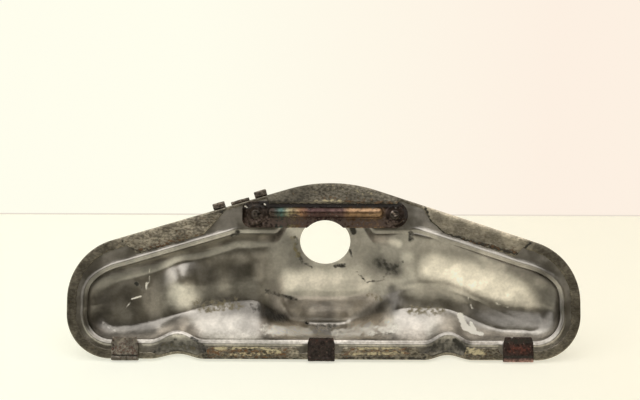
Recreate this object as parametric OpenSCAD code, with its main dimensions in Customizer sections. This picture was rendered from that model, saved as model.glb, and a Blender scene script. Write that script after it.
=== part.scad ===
// Exhaust heat shield: two pressed steel skins, drawn together into one bowl and joined by a hem
// that the outer skin folds over the inner one. A riveted strap stiffens the crown above the
// sensor hole, three clips pinch the bottom flange, and a small bracket sits behind the left flank.
//
// The shell is worked out flat first: x runs along the shield, z up the flange, and y is the depth
// of the bowl behind the flange. The finished shield then leans back until it rests on its clips
// and on the belly of its bowl, as it stands on a table.

/* [Sheet] */
// Thickness of each of the two skins
skin_t = 0.8; // [0.5:0.1:1.5]
// Room between the edge of the inner skin and the fold of the hem
hem_gap = 0.2; // [0.1:0.1:0.6]

/* [Outline] */
// Width over the two rounded ends
shield_w = 431; // [400:1:480]
// Height of the crown above the bottom edge, along the flange
crown_h = 148; // [140:1:170]
// Place of the crown along the shield, a little right of the middle
crown_x = 6; // [-10:0.5:10]
// Radius of the crown
crown_r = 128; // [80:1:160]
// Slope of the straight flank on the left
slope_left = 16.4; // [14:0.1:20]
// Slope of the straight flank on the right
slope_right = 18; // [14:0.1:20]
// Radius of the shoulders, where the flanks turn down
shoulder_r = 52; // [45:1:66]
// Radius of the bottom corners
corner_r = 37.5; // [20:1:40]

/* [Flange] */
// Width of the flange along the bottom
flange_bottom_w = 11; // [9:0.5:14]
// Width of the flange round the ends
flange_end_w = 12; // [11:0.5:18]
// Width of the flange along the flanks
flange_top_w = 18.5; // [15:0.5:22]
// Width of the bead that stiffens the inner side of the flange
bead_w = 5; // [3:0.5:8]
// Height of the bead towards the engine
bead_h = 0.9; // [0.4:0.1:2]
// Depth at which the bead's inner side turns into the wall
bend_y = 1.5; // [0.5:0.1:3]

/* [Hem] */
// Width of the hem round the ends
hem_end_w = 7.5; // [5:0.5:10]
// Width of the hem along the bottom
hem_bottom_w = 5; // [3:0.5:8]
// Width of the hem where it is only turned over
hem_min_w = 2.2; // [1.8:0.1:4]
// Share of the flange that a wide hem flap covers
flap_share = 0.9; // [0.6:0.01:0.95]
// Wide flap on the left flank, from and to
flap_left = [-174, -84]; // [-190:1:-70]
// Wide flap on the right flank, from and to
flap_right = [82, 173]; // [70:1:190]
// Flap over the crown, which holds down the top of the strap, from and to
flap_crown = [-47, 63]; // [-66:1:66]
// Flaps along the bottom, each from and to
flaps_bottom = [[-97, -21], [16, 80], [119, 147]]; // [-150:1:150]

/* [Arches] */
// Centre of the left arch in the bottom flange
arch_left_x = -122; // [-134:1:-110]
// Width of the left arch
arch_left_w = 46; // [30:1:56]
// Centre of the right arch
arch_right_x = 105; // [98:1:112]
// Width of the right arch
arch_right_w = 40; // [30:1:48]
// Depth of the arches behind the flange
arch_d = 8.5; // [4:0.5:12]
// Height that the flange gains over an arch
arch_rise = 7.5; // [3:0.5:10]
// Height that the bottom edge gains over an arch
arch_lift = 3.5; // [2:0.5:6]

/* [Bowl] */
// Depth of the bowl behind the middle of the sensor hole
hole_y = 15; // [12:0.5:20]
// Pitch of the face round the hole, downwards from the flange
facet_pitch = 26; // [16:0.5:30]
// Height below which that face runs on parallel to the flange
facet_low_z = 52; // [48:1:60]
// Depth of the left pocket at the height of the hole, where its floor is almost parallel to the flange
left_y = 16; // [12:0.5:20]
// Pitch of the left pocket's floor
left_pitch = 5; // [0:0.5:12]
// Height below which that floor runs on parallel to the flange
left_low_z = 60; // [52:1:70]
// Depth that the right pocket's face would have at the height of the hole
right_y = 3; // [1:0.5:6]
// Pitch of the right pocket's face
right_pitch = 22; // [16:0.5:26]
// Height below which that face runs on parallel to the flange, next to the middle
right_low_z = 62; // [54:1:70]
// The same height at the right end
right_end_z = 30; // [24:1:40]
// Share of their depth that both pockets keep at the two ends
end_share = 0.6; // [0.5:0.05:0.9]
// Greatest depth of the bowl, in the small pocket in the middle of the bottom
trough_mid_y = 62; // [54:1:70]
// Depth of the trough to the left and right of it
trough_side_y = 21; // [17:0.5:26]
// Half the width of the small pocket's floor
pocket_w = 14; // [8:1:20]
// Half the width over which the small pocket opens into the trough
pocket_reach = 62; // [50:1:76]
// Height of the trough in the middle
trough_mid_z = 31; // [28:1:36]
// Greatest height of the trough on the left
trough_left_z = 50; // [44:1:54]
// Greatest height of the trough on the right
trough_right_z = 44; // [38:1:50]
// Height of the trough at the two ends
trough_end_z = 26; // [24:1:32]
// Height over which the back face rolls into the trough
roll_h = 22; // [16:1:28]
// Width of the wall round the left end, seen from the front
left_wall_w = 15; // [12:0.5:20]
// Width of the wall round the right end
right_wall_w = 22; // [14:0.5:26]
// Width of the wall below the flanks
flank_wall_w = 12; // [9:0.5:16]
// Width of the wall above the sensor hole
crown_wall_w = 6; // [5:0.5:7]
// Place of the bump in the left pocket, which leaves room for a bolt head behind the shield
bump_x = -121; // [-130:1:-110]
// Height of its middle on the flange plane
bump_z = 67; // [60:1:74]
// Half the width of the bump
bump_w = 12; // [8:0.5:16]
// Half the height of the bump
bump_h = 17; // [10:0.5:22]
// How far the bump stands up towards the engine
bump_y = 7; // [3:0.5:9]

/* [Sensor hole] */
// Place of the hole, and of the strap above it, along the shield
hole_x = 1.5; // [-6:0.5:8]
// Radius of the hole
hole_r = 21.5; // [16:0.5:24]
// Height of its centre on the flange plane
hole_z = 100.3; // [95:0.5:102]

/* [Strap] */
// Thickness of the strap
strap_t = 1.5; // [1:0.1:2.5]
// Height of the strap, which is also the width of its round ends
strap_h = 22.4; // [20:0.2:23]
// Height of its middle line on the flange
strap_z = 122.8; // [121:0.2:124]
// Distance between its two rivets
rivet_pitch = 117; // [100:1:124]
// Length of the raised channel between the rivets
channel_l = 98; // [70:1:100]
// Height of the channel's middle over that of the strap
channel_up = 1.8; // [1:0.1:2.5]
// Outer radius of the channel
channel_r = 5; // [4:0.1:5.5]
// Margin of the strap round the sensor hole
notch_gap = 1.6; // [1:0.1:2.5]
// How far the crown flap laps over the strap
lap = 1.6; // [1:0.1:2.5]

/* [Rivets] */
// Radius of a rivet's shank
rivet_r = 2.1; // [1.5:0.1:3]
// Radius of its head
rivet_head_r = 4.2; // [3.5:0.1:6]
// Height of its head
rivet_head_h = 1.8; // [1:0.1:3]
// Play round a shank
rivet_play = 0.1; // [0.05:0.05:0.3]

/* [Edge clips] */
// Thickness of the clips
clip_t = 1.4; // [1:0.1:2]
// Height of a clip on the bowl's side
clip_h = 19.8; // [14:0.2:24]
// Height of a clip behind the flange
clip_back_h = 9.5; // [6:0.5:11]
// Radius of the rolled foot at the bottom of a clip
clip_foot_r = 2.2; // [1.6:0.1:3]
// Play between a clip and the hem that it pinches
clip_play = 0.1; // [0.05:0.05:0.3]
// Width of the left and the centre clip
clip_w = 22.5; // [18:0.5:26]
// Width of the right clip
clip_right_w = 25; // [20:0.5:28]
// Distance from the left end of the shield to the middle of the left clip
clip_left_in = 49.5; // [46:0.5:56]
// Distance from the right end of the shield to the middle of the right clip
clip_right_in = 52.5; // [48:0.5:58]
// Place of the centre clip
clip_centre_x = -1.5; // [-6:0.5:6]

/* [Edge bracket] */
// Thickness of the bracket
bracket_t = 1.5; // [1:0.1:2.5]
// Place of its middle along the shield
bracket_x = -70; // [-80:1:-64]
// Distance between the middles of its two lugs
lug_pitch = 36.5; // [30:0.5:46]
// Width of a lug
lug_w = 10.5; // [7:0.5:14]
// How far the lugs stand up over the edge
lug_h = 5.5; // [3:0.5:9]
// How far the lugs reach forward over the edge
lug_reach = 4; // [2.5:0.5:6]
// Depth of the bracket's strip behind the flange
bracket_d = 8.5; // [7:0.5:9]

/* [Hidden] */
$fn = 48;

steel_bright = [0.62, 0.60, 0.55];
steel_dull = [0.46, 0.45, 0.42];
steel_burnt = [0.24, 0.18, 0.15];
steel_rusty = [0.33, 0.26, 0.22];

clip_left = [clip_left_in - shield_w / 2, clip_w];
clip_centre = [clip_centre_x, clip_w];
clip_right = [shield_w / 2 - clip_right_in, clip_right_w];

// The bottom edge of the hem stands over the clips' feet by the clips' own thickness.
edge_z = clip_t + clip_play;
half_w = shield_w / 2;
crown_z = edge_z + crown_h;
shoulder_x = half_w - shoulder_r;
corner_x = half_w - corner_r;
corner_z = edge_z + corner_r;

function mix(a, b, t) = a + (b - a) * t;
function soft(a, b, t) = let (u = min(1, max(0, (t - a) / (b - a)))) u * u * (3 - 2 * u);
function swell(t) = abs(t) < 1 ? pow(cos(90 * t), 2) : 0;
function within(x, span) = x > span[0] && x < span[1];
function steps(a, b, n) = [for (i = [0:n - 1]) mix(a, b, i / n)];

// The upper edge of the outline over x, and its slope there: an arc between two straight flanks.
function top_slope(x) = asin(max(-sin(slope_left), min(sin(slope_right), (x - crown_x) / crown_r)));
function top_z(x) = let (u = x - crown_x, a = u < 0 ? slope_left : slope_right) crown_z - crown_r
    + (abs(u) < crown_r * sin(a) ? sqrt(crown_r * crown_r - u * u) : crown_r / cos(a) - abs(u) * tan(a));
// Middle of the shoulder arc on the right (1) or left (-1), which the flank meets at its own slope.
function shoulder(s) = let (a = s < 0 ? slope_left : slope_right)
    [shoulder_x, top_z(s * shoulder_x) - shoulder_r / cos(a), a];

// Stations round the outline, each [point on the edge, point on the spine, way inwards].
// Between the two ends they stand on common columns, closer together over the arches.
spine_x = shoulder_x;
spine_z = 55;
al = arch_left_x - arch_left_w / 2;
ar = arch_right_x - arch_right_w / 2;
columns = concat(steps(-spine_x, al, 1), steps(al, al + arch_left_w, 8),
                 steps(al + arch_left_w, hole_x - rivet_pitch / 2, 3),
                 steps(hole_x - rivet_pitch / 2, hole_x + rivet_pitch / 2, 12),
                 steps(hole_x + rivet_pitch / 2, ar, 2), steps(ar, ar + arch_right_w, 6),
                 steps(ar + arch_right_w, spine_x, 3), [spine_x]);
n_col = len(columns);

function column_up(x) = [[x, top_z(x)], [x, spine_z], [-sin(top_slope(x)), -cos(top_slope(x))]];
function column_down(x) = [[x, edge_z + arch_lift * arch(x)], [x, spine_z], [0, 1]];
function arc_station(c, r, a, s) = [[s * (c[0] + r * cos(a)), c[1] + r * sin(a)], [s * spine_x, spine_z],
                                    [-s * cos(a), -sin(a)]];
// One end from the top round to the bottom; s is 1 for the right end and -1 for the left.
function end_stations(s) = concat(
    [column_up(s * (spine_x + shoulder_r * sin(shoulder(s)[2]) * 0.5))],
    [for (i = [0:7]) arc_station(shoulder(s), shoulder_r, mix(90 - shoulder(s)[2], 0, i / 7), s)],
    [for (i = [1:6]) arc_station([corner_x, corner_z], corner_r, mix(0, -90, i / 6), s)],
    [column_down(s * mix(corner_x, spine_x, 0.5))]);
function to_end(st, s) = [st[0], [s * spine_x, spine_z], st[2]];
right_end = [for (st = end_stations(1)) to_end(st, 1)];
left_end = [for (st = end_stations(-1)) to_end(st, -1)];
n_end = len(right_end);
stations = concat([for (x = columns) column_up(x)], right_end,
                  [for (i = [n_col - 1:-1:0]) column_down(columns[i])],
                  [for (i = [n_end - 1:-1:0]) left_end[i]]);
n_st = len(stations);

function on_top(i) = i < n_col;
function on_bottom(i) = i >= n_col + n_end && i < 2 * n_col + n_end;

// Place on station i at a distance s inside the edge, measured square to the edge.
function ray(i) = let (st = stations[i], d = st[1] - st[0], l = norm(d)) [d / l, l, 1 / ((d / l) * st[2])];
rays = [for (i = [0:n_st - 1]) ray(i)];
function inside(i, s) = stations[i][0] + rays[i][0] * s * rays[i][2];

// The flange widens under the strap, so that the strap lies on flat metal, but it stays narrow
// over the sensor hole, whose face starts just above the hole.
strap_x = (rivet_pitch + strap_h) / 2;
strap_low_z = strap_z - strap_h / 2;
hole_top_z = hole_z + hole_r * cos(facet_pitch);
function seat(x) = 1 - soft(strap_x, strap_x + 12, abs(x - hole_x));
function seat_w(x) = (top_z(x) - mix(hole_top_z + 1 + bead_w + crown_wall_w, strap_low_z - 2 + bead_w / 2,
                      soft(hole_r + 2, 2 * hole_r, abs(x - hole_x)))) * cos(top_slope(x));
function arch(x) = max(swell((x - arch_left_x) / (arch_left_w / 2)), swell((x - arch_right_x) / (arch_right_w / 2)));
function flange_w(i) = let (p = stations[i][0], x = p[0])
    on_top(i) ? mix(flange_top_w, seat_w(x), seat(x))
    : on_bottom(i) ? flange_bottom_w + (arch_rise - arch_lift) * arch(x)
    : along_end(flange_bottom_w, flange_end_w, flange_top_w, p[1]);

// Under the strap and behind the clips the bead runs out, so that they lie flat.
function clear_of_clip(x, clip) = soft(clip[1] / 2, clip[1] / 2 + 8, abs(x - clip[0]));
function bead(i) = let (x = stations[i][0][0])
    on_top(i) ? bead_h * soft(strap_x, strap_x + 16, abs(x - hole_x))
    : stations[i][0][1] > spine_z ? bead_h
    : bead_h * clear_of_clip(x, clip_left) * clear_of_clip(x, clip_centre) * clear_of_clip(x, clip_right);

// The trough that runs along the bottom of the bowl. It is highest under the two flanks, and in the
// middle it drops into a small deep pocket, the belly that the shield stands on.
left_hump_x = hole_x - rivet_pitch / 2 - 5;
right_hump_x = hole_x + rivet_pitch / 2 + 16;
function trough_z(x) = x < 0
    ? mix(trough_mid_z, trough_left_z, soft(hole_r, -left_hump_x, -x))
      - (trough_left_z - trough_end_z) * soft(-left_hump_x, half_w - 25, -x)
    : mix(trough_mid_z, trough_right_z, soft(hole_r / 2, right_hump_x, x))
      - (trough_right_z - trough_end_z) * soft(arch_right_x - 7, spine_x - 7, x);
pocket_x = hole_x + 2.5;
function out_of_pocket(x) = soft(pocket_w, pocket_reach, abs(x - pocket_x));
function trough_y(x) = mix(trough_mid_y, trough_side_y, out_of_pocket(x));
function along_end(low, end, high, z) = mix(low, mix(end, high, soft(spine_z + 5, crown_z - 45, z)),
                                            soft(edge_z, corner_z - 5, z));
function wall_w(i) = let (p = stations[i][0], x = p[0])
    on_top(i) ? mix(crown_wall_w, flank_wall_w, soft(hole_r, strap_x, abs(x - hole_x)))
    : on_bottom(i) ? trough_z(x) - p[1] - flange_w(i) - bead_w
    : along_end(trough_z(stations[i][1][0]) - edge_z - flange_bottom_w - bead_w, x < 0 ? left_wall_w : right_wall_w,
                flank_wall_w, p[1]);

// Depth of the drawn bowl behind the flange, away from its walls: a sloping face round the hole,
// which turns into the flat floor of the left pocket and the sloping face of the right one.
function aside(x) = x < 0 ? soft(hole_r + 10, -left_hump_x - 4, -x) : soft(hole_r + 12, right_hump_x + 8, x);
function face_low(x) = mix(facet_low_z, x < 0 ? left_low_z : mix(right_low_z, right_end_z, soft(90, half_w - 25, x)),
                           aside(x));
function face_y(x, z) = let (low = face_low(x), over = max(z, low) + 4 * exp(-pow((z - low) / 6, 2)))
    mix(hole_y, x < 0 ? left_y : right_y, aside(x))
    + (hole_z - over) * mix(tan(facet_pitch), tan(x < 0 ? left_pitch : right_pitch), aside(x));
function bump(x, z) = bump_y * exp(-pow((x - bump_x) / bump_w, 2)) * exp(-pow((z - bump_z) / bump_h, 2));
function bowl_y(x, z) = mix(trough_y(x), face_y(x, z), soft(trough_z(x), trough_z(x) + roll_h, z))
                        * mix(1, end_share, soft(100, half_w - 15, abs(x))) - bump(x, z);
// A wall drops from the bead and rounds into the bowl. The higher the power, the steeper it starts:
// it is steepest in front of the small pocket, where it runs straight back as a floor.
function wall_power(i) = let (x = stations[i][0][0])
    on_bottom(i) ? mix(2.6, 1.15, soft(8, 40, abs(x - pocket_x))) + 0.4 * soft(96, spine_x, abs(x))
    : on_top(i) ? 1.6 : along_end(1.55, x < 0 ? 1.8 : 2.4, 1.6, stations[i][0][1]);
function wall(q, n) = pow(1 - pow(1 - q, n), 1 / n);

// Hem width on a station.
function hem_w(i) = let (p = stations[i][0], x = p[0], w = flange_w(i))
    on_top(i) && within(x, flap_crown) ? (top_z(x) - strap_z - strap_h / 2 + lap) * cos(top_slope(x))
    : p[1] > spine_z && (within(x, flap_left) || within(x, flap_right)) ? flap_share * min(w, flange_top_w)
    : on_top(i) ? hem_min_w
    : !on_bottom(i) ? hem_end_w
    : len([for (f = flaps_bottom) if (within(x, f)) 1]) > 0 ? flap_share * w
    : mix(hem_bottom_w, hem_min_w, soft(0, 0.2, arch(x)));

// Rings of the shell, from the edge of the inner skin to the spine.
wall_rings = [0.05, 0.2, 0.45, 0.75, 1];
deep_rings = [0.22, 0.44, 0.64, 0.82, 1];
n_ring = 5 + len(wall_rings) + len(deep_rings);
edge_s = skin_t + hem_gap;
function ring_point(i, k) =
    let (w = flange_w(i), b = w + bead_w, ww = wall_w(i), f = rays[i][2], l = rays[i][1] / f,
         q = k < 5 ? 0 : k < 10 ? wall_rings[k - 5] : 1,
         s = k == 0 ? edge_s : k == 1 ? hem_w(i) : k == 2 ? w : k == 3 ? w + bead_w / 2 : k == 4 ? b
             : k < 10 ? b + ww * q : mix(b + ww, l, deep_rings[k - 10]),
         p = inside(i, s), x = p[0], z = p[1],
         dip = on_bottom(i) ? arch_d * arch(x) * max(0, 1 - s / b) : 0,
         y = k == 3 ? -bead(i) : k < 4 ? dip : k == 4 ? bend_y : mix(bend_y, bowl_y(x, z), wall(q, wall_power(i))))
    [x, y, z];
base = [for (i = [0:n_st - 1]) [for (k = [0:n_ring - 1]) ring_point(i, k)]];

// The way out of the back of the sheet at each point. The spine's points are shared by the rays that
// end there, so their normals come from the column above and below.
function spine_column(i) = i < n_col ? i : i < n_col + n_end ? n_col - 1
    : i < 2 * n_col + n_end ? 2 * n_col + n_end - 1 - i : 0;
function backward(v) = let (u = v / norm(v)) u[1] < 0 ? -u : u;
function spine_normal(c) =
    let (up = base[c][n_ring - 2], down = base[2 * n_col + n_end - 1 - c][n_ring - 2],
         lo = c == 0 ? base[n_st - n_end / 2][n_ring - 2] : base[c - 1][n_ring - 1],
         hi = c == n_col - 1 ? base[n_col + n_end / 2][n_ring - 2] : base[c + 1][n_ring - 1])
    backward(cross(hi - lo, up - down));
function ring_normal(i, k) = k == n_ring - 1 ? spine_normal(spine_column(i))
    : let (along = base[(i + 1) % n_st][k] - base[(i + n_st - 1) % n_st][k],
           across = base[i][k + 1] - base[i][max(0, k - 1)])
    backward(cross(along, across));
normals = [for (i = [0:n_st - 1]) [for (k = [0:n_ring - 1]) k < 2 ? [0, 1, 0] : ring_normal(i, k)]];
function layer(i, k, t) = base[i][k] + normals[i][k] * t;

// A closed skin from one path of points per station. The first and last points of each path lie on
// the spine, where the two sides of the shell meet in a seam that runs from end to end. The quads of
// its first half are split the other way, so that two skins that share a layer meet face to face.
module skin(paths) {
    n = len(paths);
    m = len(paths[0]);
    function id(i, k) = k == 0 ? spine_column(i) : k == m - 1 ? n_col + spine_column(i)
        : 2 * n_col + ((i + n) % n) * (m - 2) + k - 1;
    points = concat([for (c = [0:n_col - 1]) paths[c][0]], [for (c = [0:n_col - 1]) paths[c][m - 1]],
                    [for (i = [0:n - 1]) for (k = [1:m - 2]) paths[i][k]]);
    quads = [for (i = [0:n - 1]) for (k = [0:m - 2])
             let (j = (i + 1) % n, a = id(i, k), b = id(j, k), c = id(j, k + 1), d = id(i, k + 1))
             each (k < n_ring - 1 ? [[a, d, b], [b, d, c]] : [[a, c, b], [a, d, c]])];
    polyhedron(points = points, faces = [for (f = quads) if (f[0] != f[1] && f[1] != f[2] && f[0] != f[2]) f]);
}

// The hem at station i: the inside of the fold, the flap and the outside of the fold.
// Over the strap the flap is lifted, so that it lies on the strap's upper edge.
function lifted(i) = on_top(i) && within(stations[i][0][0], flap_crown)
    ? (strap_t + 0.1) * hem_w(i) / (hem_w(i) - lap / cos(top_slope(stations[i][0][0]))) : 0;
function at(i, s, y) = let (p = inside(i, s)) [p[0], y, p[1]];
function hem(i) = let (y0 = base[i][0][1], y1 = base[i][1][1] - lifted(i), w = hem_w(i), t = skin_t)
    [at(i, t, y0 + t / 2), base[i][0], [base[i][1][0], y1, base[i][1][2]],
     [base[i][1][0], y1 - t, base[i][1][2]], at(i, edge_s, y0 - t), at(i, 0, y0 - 0.4 * t), at(i, 0, y0 + 1.4 * t)];

function rim_to_spine(i, t) = [for (k = [0:n_ring - 1]) layer(i, k, t)];
function spine_to_rim(i, t) = [for (k = [n_ring - 1:-1:0]) layer(i, k, t)];

// Leaning back, the shield comes to rest on the heels of its clips and on the belly of its bowl.
clip_front_y = -skin_t - clip_play - clip_t;
clip_heel_y = 2 * skin_t + clip_play + clip_t;
belly = [for (i = [0:n_st - 1]) for (k = [5:n_ring - 2]) let (p = layer(i, k, 2 * skin_t))
         if (p[1] > trough_mid_y / 2) atan2(p[2], p[1] - clip_heel_y)];
lean = min(belly);
function stood(p) = [p[0], p[1] * cos(lean) + p[2] * sin(lean), p[2] * cos(lean) - p[1] * sin(lean)];
outer_back = [for (i = [0:n_st - 1]) for (k = [0:n_ring - 1]) stood(layer(i, k, 2 * skin_t))];
back_y = max([for (p = outer_back) p[1]]);
front_y = stood([0, clip_front_y + clip_foot_r, clip_foot_r])[1] - clip_foot_r;
low_z = stood([0, clip_heel_y, 0])[2];

module stand() {
    translate([0, -(front_y + back_y) / 2, -low_z]) rotate([-lean, 0, 0]) children();
}

module sensor_bore(r) {
    translate([hole_x, hole_y, hole_z]) rotate([90 + facet_pitch, 0, 0]) cylinder(r = r, h = 60, center = true);
}

module rivet_holes(y0, y1) {
    for (s = [-1, 1]) translate([hole_x + s * rivet_pitch / 2, y0, strap_z]) rotate([-90, 0, 0])
        cylinder(r = rivet_r + rivet_play, h = y1 - y0);
}

module outer_skin() {
    color(steel_dull) stand() difference() {
        skin([for (i = [0:n_st - 1]) concat(spine_to_rim(i, skin_t), hem(i), rim_to_spine(i, 2 * skin_t))]);
        sensor_bore(hole_r);
        rivet_holes(-1, 6);
    }
}

module inner_skin() {
    color(steel_bright) stand() difference() {
        skin([for (i = [0:n_st - 1]) concat(spine_to_rim(i, 0), rim_to_spine(i, skin_t))]);
        sensor_bore(hole_r);
        rivet_holes(-1, 6);
    }
}

// The strap is a flat bar with round ends and a channel pressed out of it towards the engine.
module channel_form(r) {
    l = channel_l - 2 * channel_r;
    translate([hole_x, 0, strap_z + channel_up]) rotate([0, 90, 0]) rotate_extrude() difference() {
        union() {
            translate([-r, -l / 2]) square([2 * r, l]);
            for (s = [-1, 1]) translate([0, s * l / 2]) circle(r = r);
        }
        translate([-2 * r, -l]) square([2 * r, 2 * l]);
    }
}

module stiffener_strap() {
    color(steel_burnt) stand() difference() {
        union() {
            translate([hole_x, 0, strap_z]) rotate([90, 0, 0]) linear_extrude(strap_t) union() {
                square([rivet_pitch, strap_h], center = true);
                for (s = [-1, 1]) translate([s * rivet_pitch / 2, 0]) circle(d = strap_h);
            }
            difference() {
                channel_form(channel_r);
                translate([hole_x - channel_l, -strap_t / 2, strap_z - channel_r])
                    cube([2 * channel_l, 2 * channel_r, 3 * channel_r]);
            }
        }
        channel_form(channel_r - strap_t);
        sensor_bore(hole_r + notch_gap);
        rivet_holes(-strap_t - 1, 1);
    }
}

// Round-headed rivet from the front of the strap to the back of the outer skin.
module strap_rivet(x) {
    color(steel_rusty) stand() translate([x, 0, strap_z]) rotate([-90, 0, 0]) {
        translate([0, 0, -strap_t - rivet_head_h]) cylinder(r1 = rivet_head_r * 0.7, r2 = rivet_head_r, h = rivet_head_h);
        translate([0, 0, -strap_t]) cylinder(r = rivet_r, h = strap_t + 2 * skin_t);
        translate([0, 0, 2 * skin_t]) cylinder(r1 = rivet_head_r * 0.85, r2 = rivet_head_r * 0.7, h = rivet_head_h * 0.6);
    }
}

module strap_rivet_left() { strap_rivet(hole_x - rivet_pitch / 2); }
module strap_rivet_right() { strap_rivet(hole_x + rivet_pitch / 2); }

// A clip is a strip bent over the bottom edge, with a rolled foot below its front leg.
module clip(at_x, w, h) {
    fy = -skin_t - clip_play;
    by = 2 * skin_t + clip_play;
    color(steel_rusty) stand() translate([at_x - w / 2, 0, 0]) rotate([90, 0, 90]) linear_extrude(w) difference() {
        union() {
            translate([fy - clip_t, clip_foot_r]) square([clip_t, h - clip_foot_r]);
            translate([by, clip_t / 2]) square([clip_t, clip_back_h - clip_t / 2]);
            translate([fy - clip_t + clip_foot_r, 0]) square([by - fy + 2 * clip_t - clip_foot_r, clip_t]);
            translate([fy - clip_t + clip_foot_r, clip_foot_r]) circle(r = clip_foot_r);
        }
        translate([fy, clip_t]) square([by - fy, h]);
    }
}

module edge_clip_left() { clip(clip_left[0], clip_left[1], clip_h); }
module edge_clip_centre() { clip(clip_centre[0], clip_centre[1], clip_h); }
module edge_clip_right() { clip(clip_right[0], clip_right[1], clip_h + 1); }

// Strip behind the left flank with two lugs that stand up over the edge and reach forward.
module edge_bracket() {
    y0 = 2 * skin_t;
    l = lug_pitch + lug_w;
    color(steel_rusty) stand() translate([bracket_x, 0, top_z(bracket_x)]) rotate([0, -slope_left, 0]) {
        translate([-l / 2, y0, -bracket_d]) cube([l, bracket_t, bracket_d - edge_s]);
        translate([-lug_w * 0.75, y0, -edge_s]) cube([lug_w * 1.5, bracket_t, edge_s + lug_h * 0.55]);
        for (s = [-1, 1]) translate([s * lug_pitch / 2 - lug_w / 2, 0, 0]) {
            translate([0, y0, -edge_s]) cube([lug_w, bracket_t, edge_s + lug_h]);
            translate([0, y0 + bracket_t - lug_reach, lug_h * 0.1]) cube([lug_w, lug_reach, lug_h * 0.9]);
        }
    }
}

outer_skin();
inner_skin();
stiffener_strap();
strap_rivet_left();
strap_rivet_right();
edge_clip_left();
edge_clip_centre();
edge_clip_right();
edge_bracket();
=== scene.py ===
import math

import bpy
import numpy as np
from mathutils import Matrix, Vector
from mathutils.kdtree import KDTree


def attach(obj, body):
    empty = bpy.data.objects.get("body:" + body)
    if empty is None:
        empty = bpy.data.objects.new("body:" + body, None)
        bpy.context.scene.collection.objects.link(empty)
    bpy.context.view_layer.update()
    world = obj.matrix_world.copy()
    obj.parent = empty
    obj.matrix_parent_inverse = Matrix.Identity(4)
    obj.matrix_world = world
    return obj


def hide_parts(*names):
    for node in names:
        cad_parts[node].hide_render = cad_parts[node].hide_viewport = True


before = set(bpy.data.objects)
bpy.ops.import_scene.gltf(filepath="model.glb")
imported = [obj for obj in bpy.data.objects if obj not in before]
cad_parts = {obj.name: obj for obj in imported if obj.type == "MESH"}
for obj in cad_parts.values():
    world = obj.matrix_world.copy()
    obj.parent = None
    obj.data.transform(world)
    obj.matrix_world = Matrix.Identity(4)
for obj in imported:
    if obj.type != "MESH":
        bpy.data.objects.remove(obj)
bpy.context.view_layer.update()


# Camera: it stands a little above the shield and looks down on its hollow side.
# Its place and lens come from the outline, the hole and the clips in the photograph.
EYE = (0.00616, -0.88506, 0.42689)
LOOK_DOWN = math.radians(18.44)
LOOK_LEFT = math.radians(0.58)
FOCAL_PX = 1125.87
PHOTO_W, PHOTO_H = 640, 400
SENSOR_MM = 36.0
camera = bpy.data.cameras.new("camera")
camera.sensor_width = SENSOR_MM
camera.lens = FOCAL_PX / PHOTO_W * camera.sensor_width
camera_object = bpy.data.objects.new("camera", camera)
camera_object.location = EYE
camera_object.rotation_euler = (math.pi / 2 - LOOK_DOWN, 0.0, LOOK_LEFT)
bpy.context.scene.collection.objects.link(camera_object)
bpy.context.scene.camera = camera_object
bpy.context.scene.view_settings.view_transform = "Standard"


# Table and wall: a white table top runs back to a cream wall, a little pinker to the right.
# Part of their brightness is their own, so that they look pale and the table still takes the shadow.
# A thin dark line along the foot of the wall is a painted shadow.
TABLE_SIZE, WALL_SIZE, WALL_Y = 12.0, 6.0, 0.340
TABLE_LEFT, TABLE_RIGHT = (1.0, 1.0, 0.87, 1), (1.0, 0.96, 0.81, 1)
WALL_LEFT, WALL_RIGHT = (1.0, 0.99, 0.85, 1), (0.98, 0.87, 0.76, 1)
TINT_LEFT_X, TINT_RIGHT_X = -0.15, 0.25
FOOT_SHADE, FOOT_H, FOOT_AHEAD = (0.80, 0.72, 0.62, 1), 0.0016, 0.0004


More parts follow.
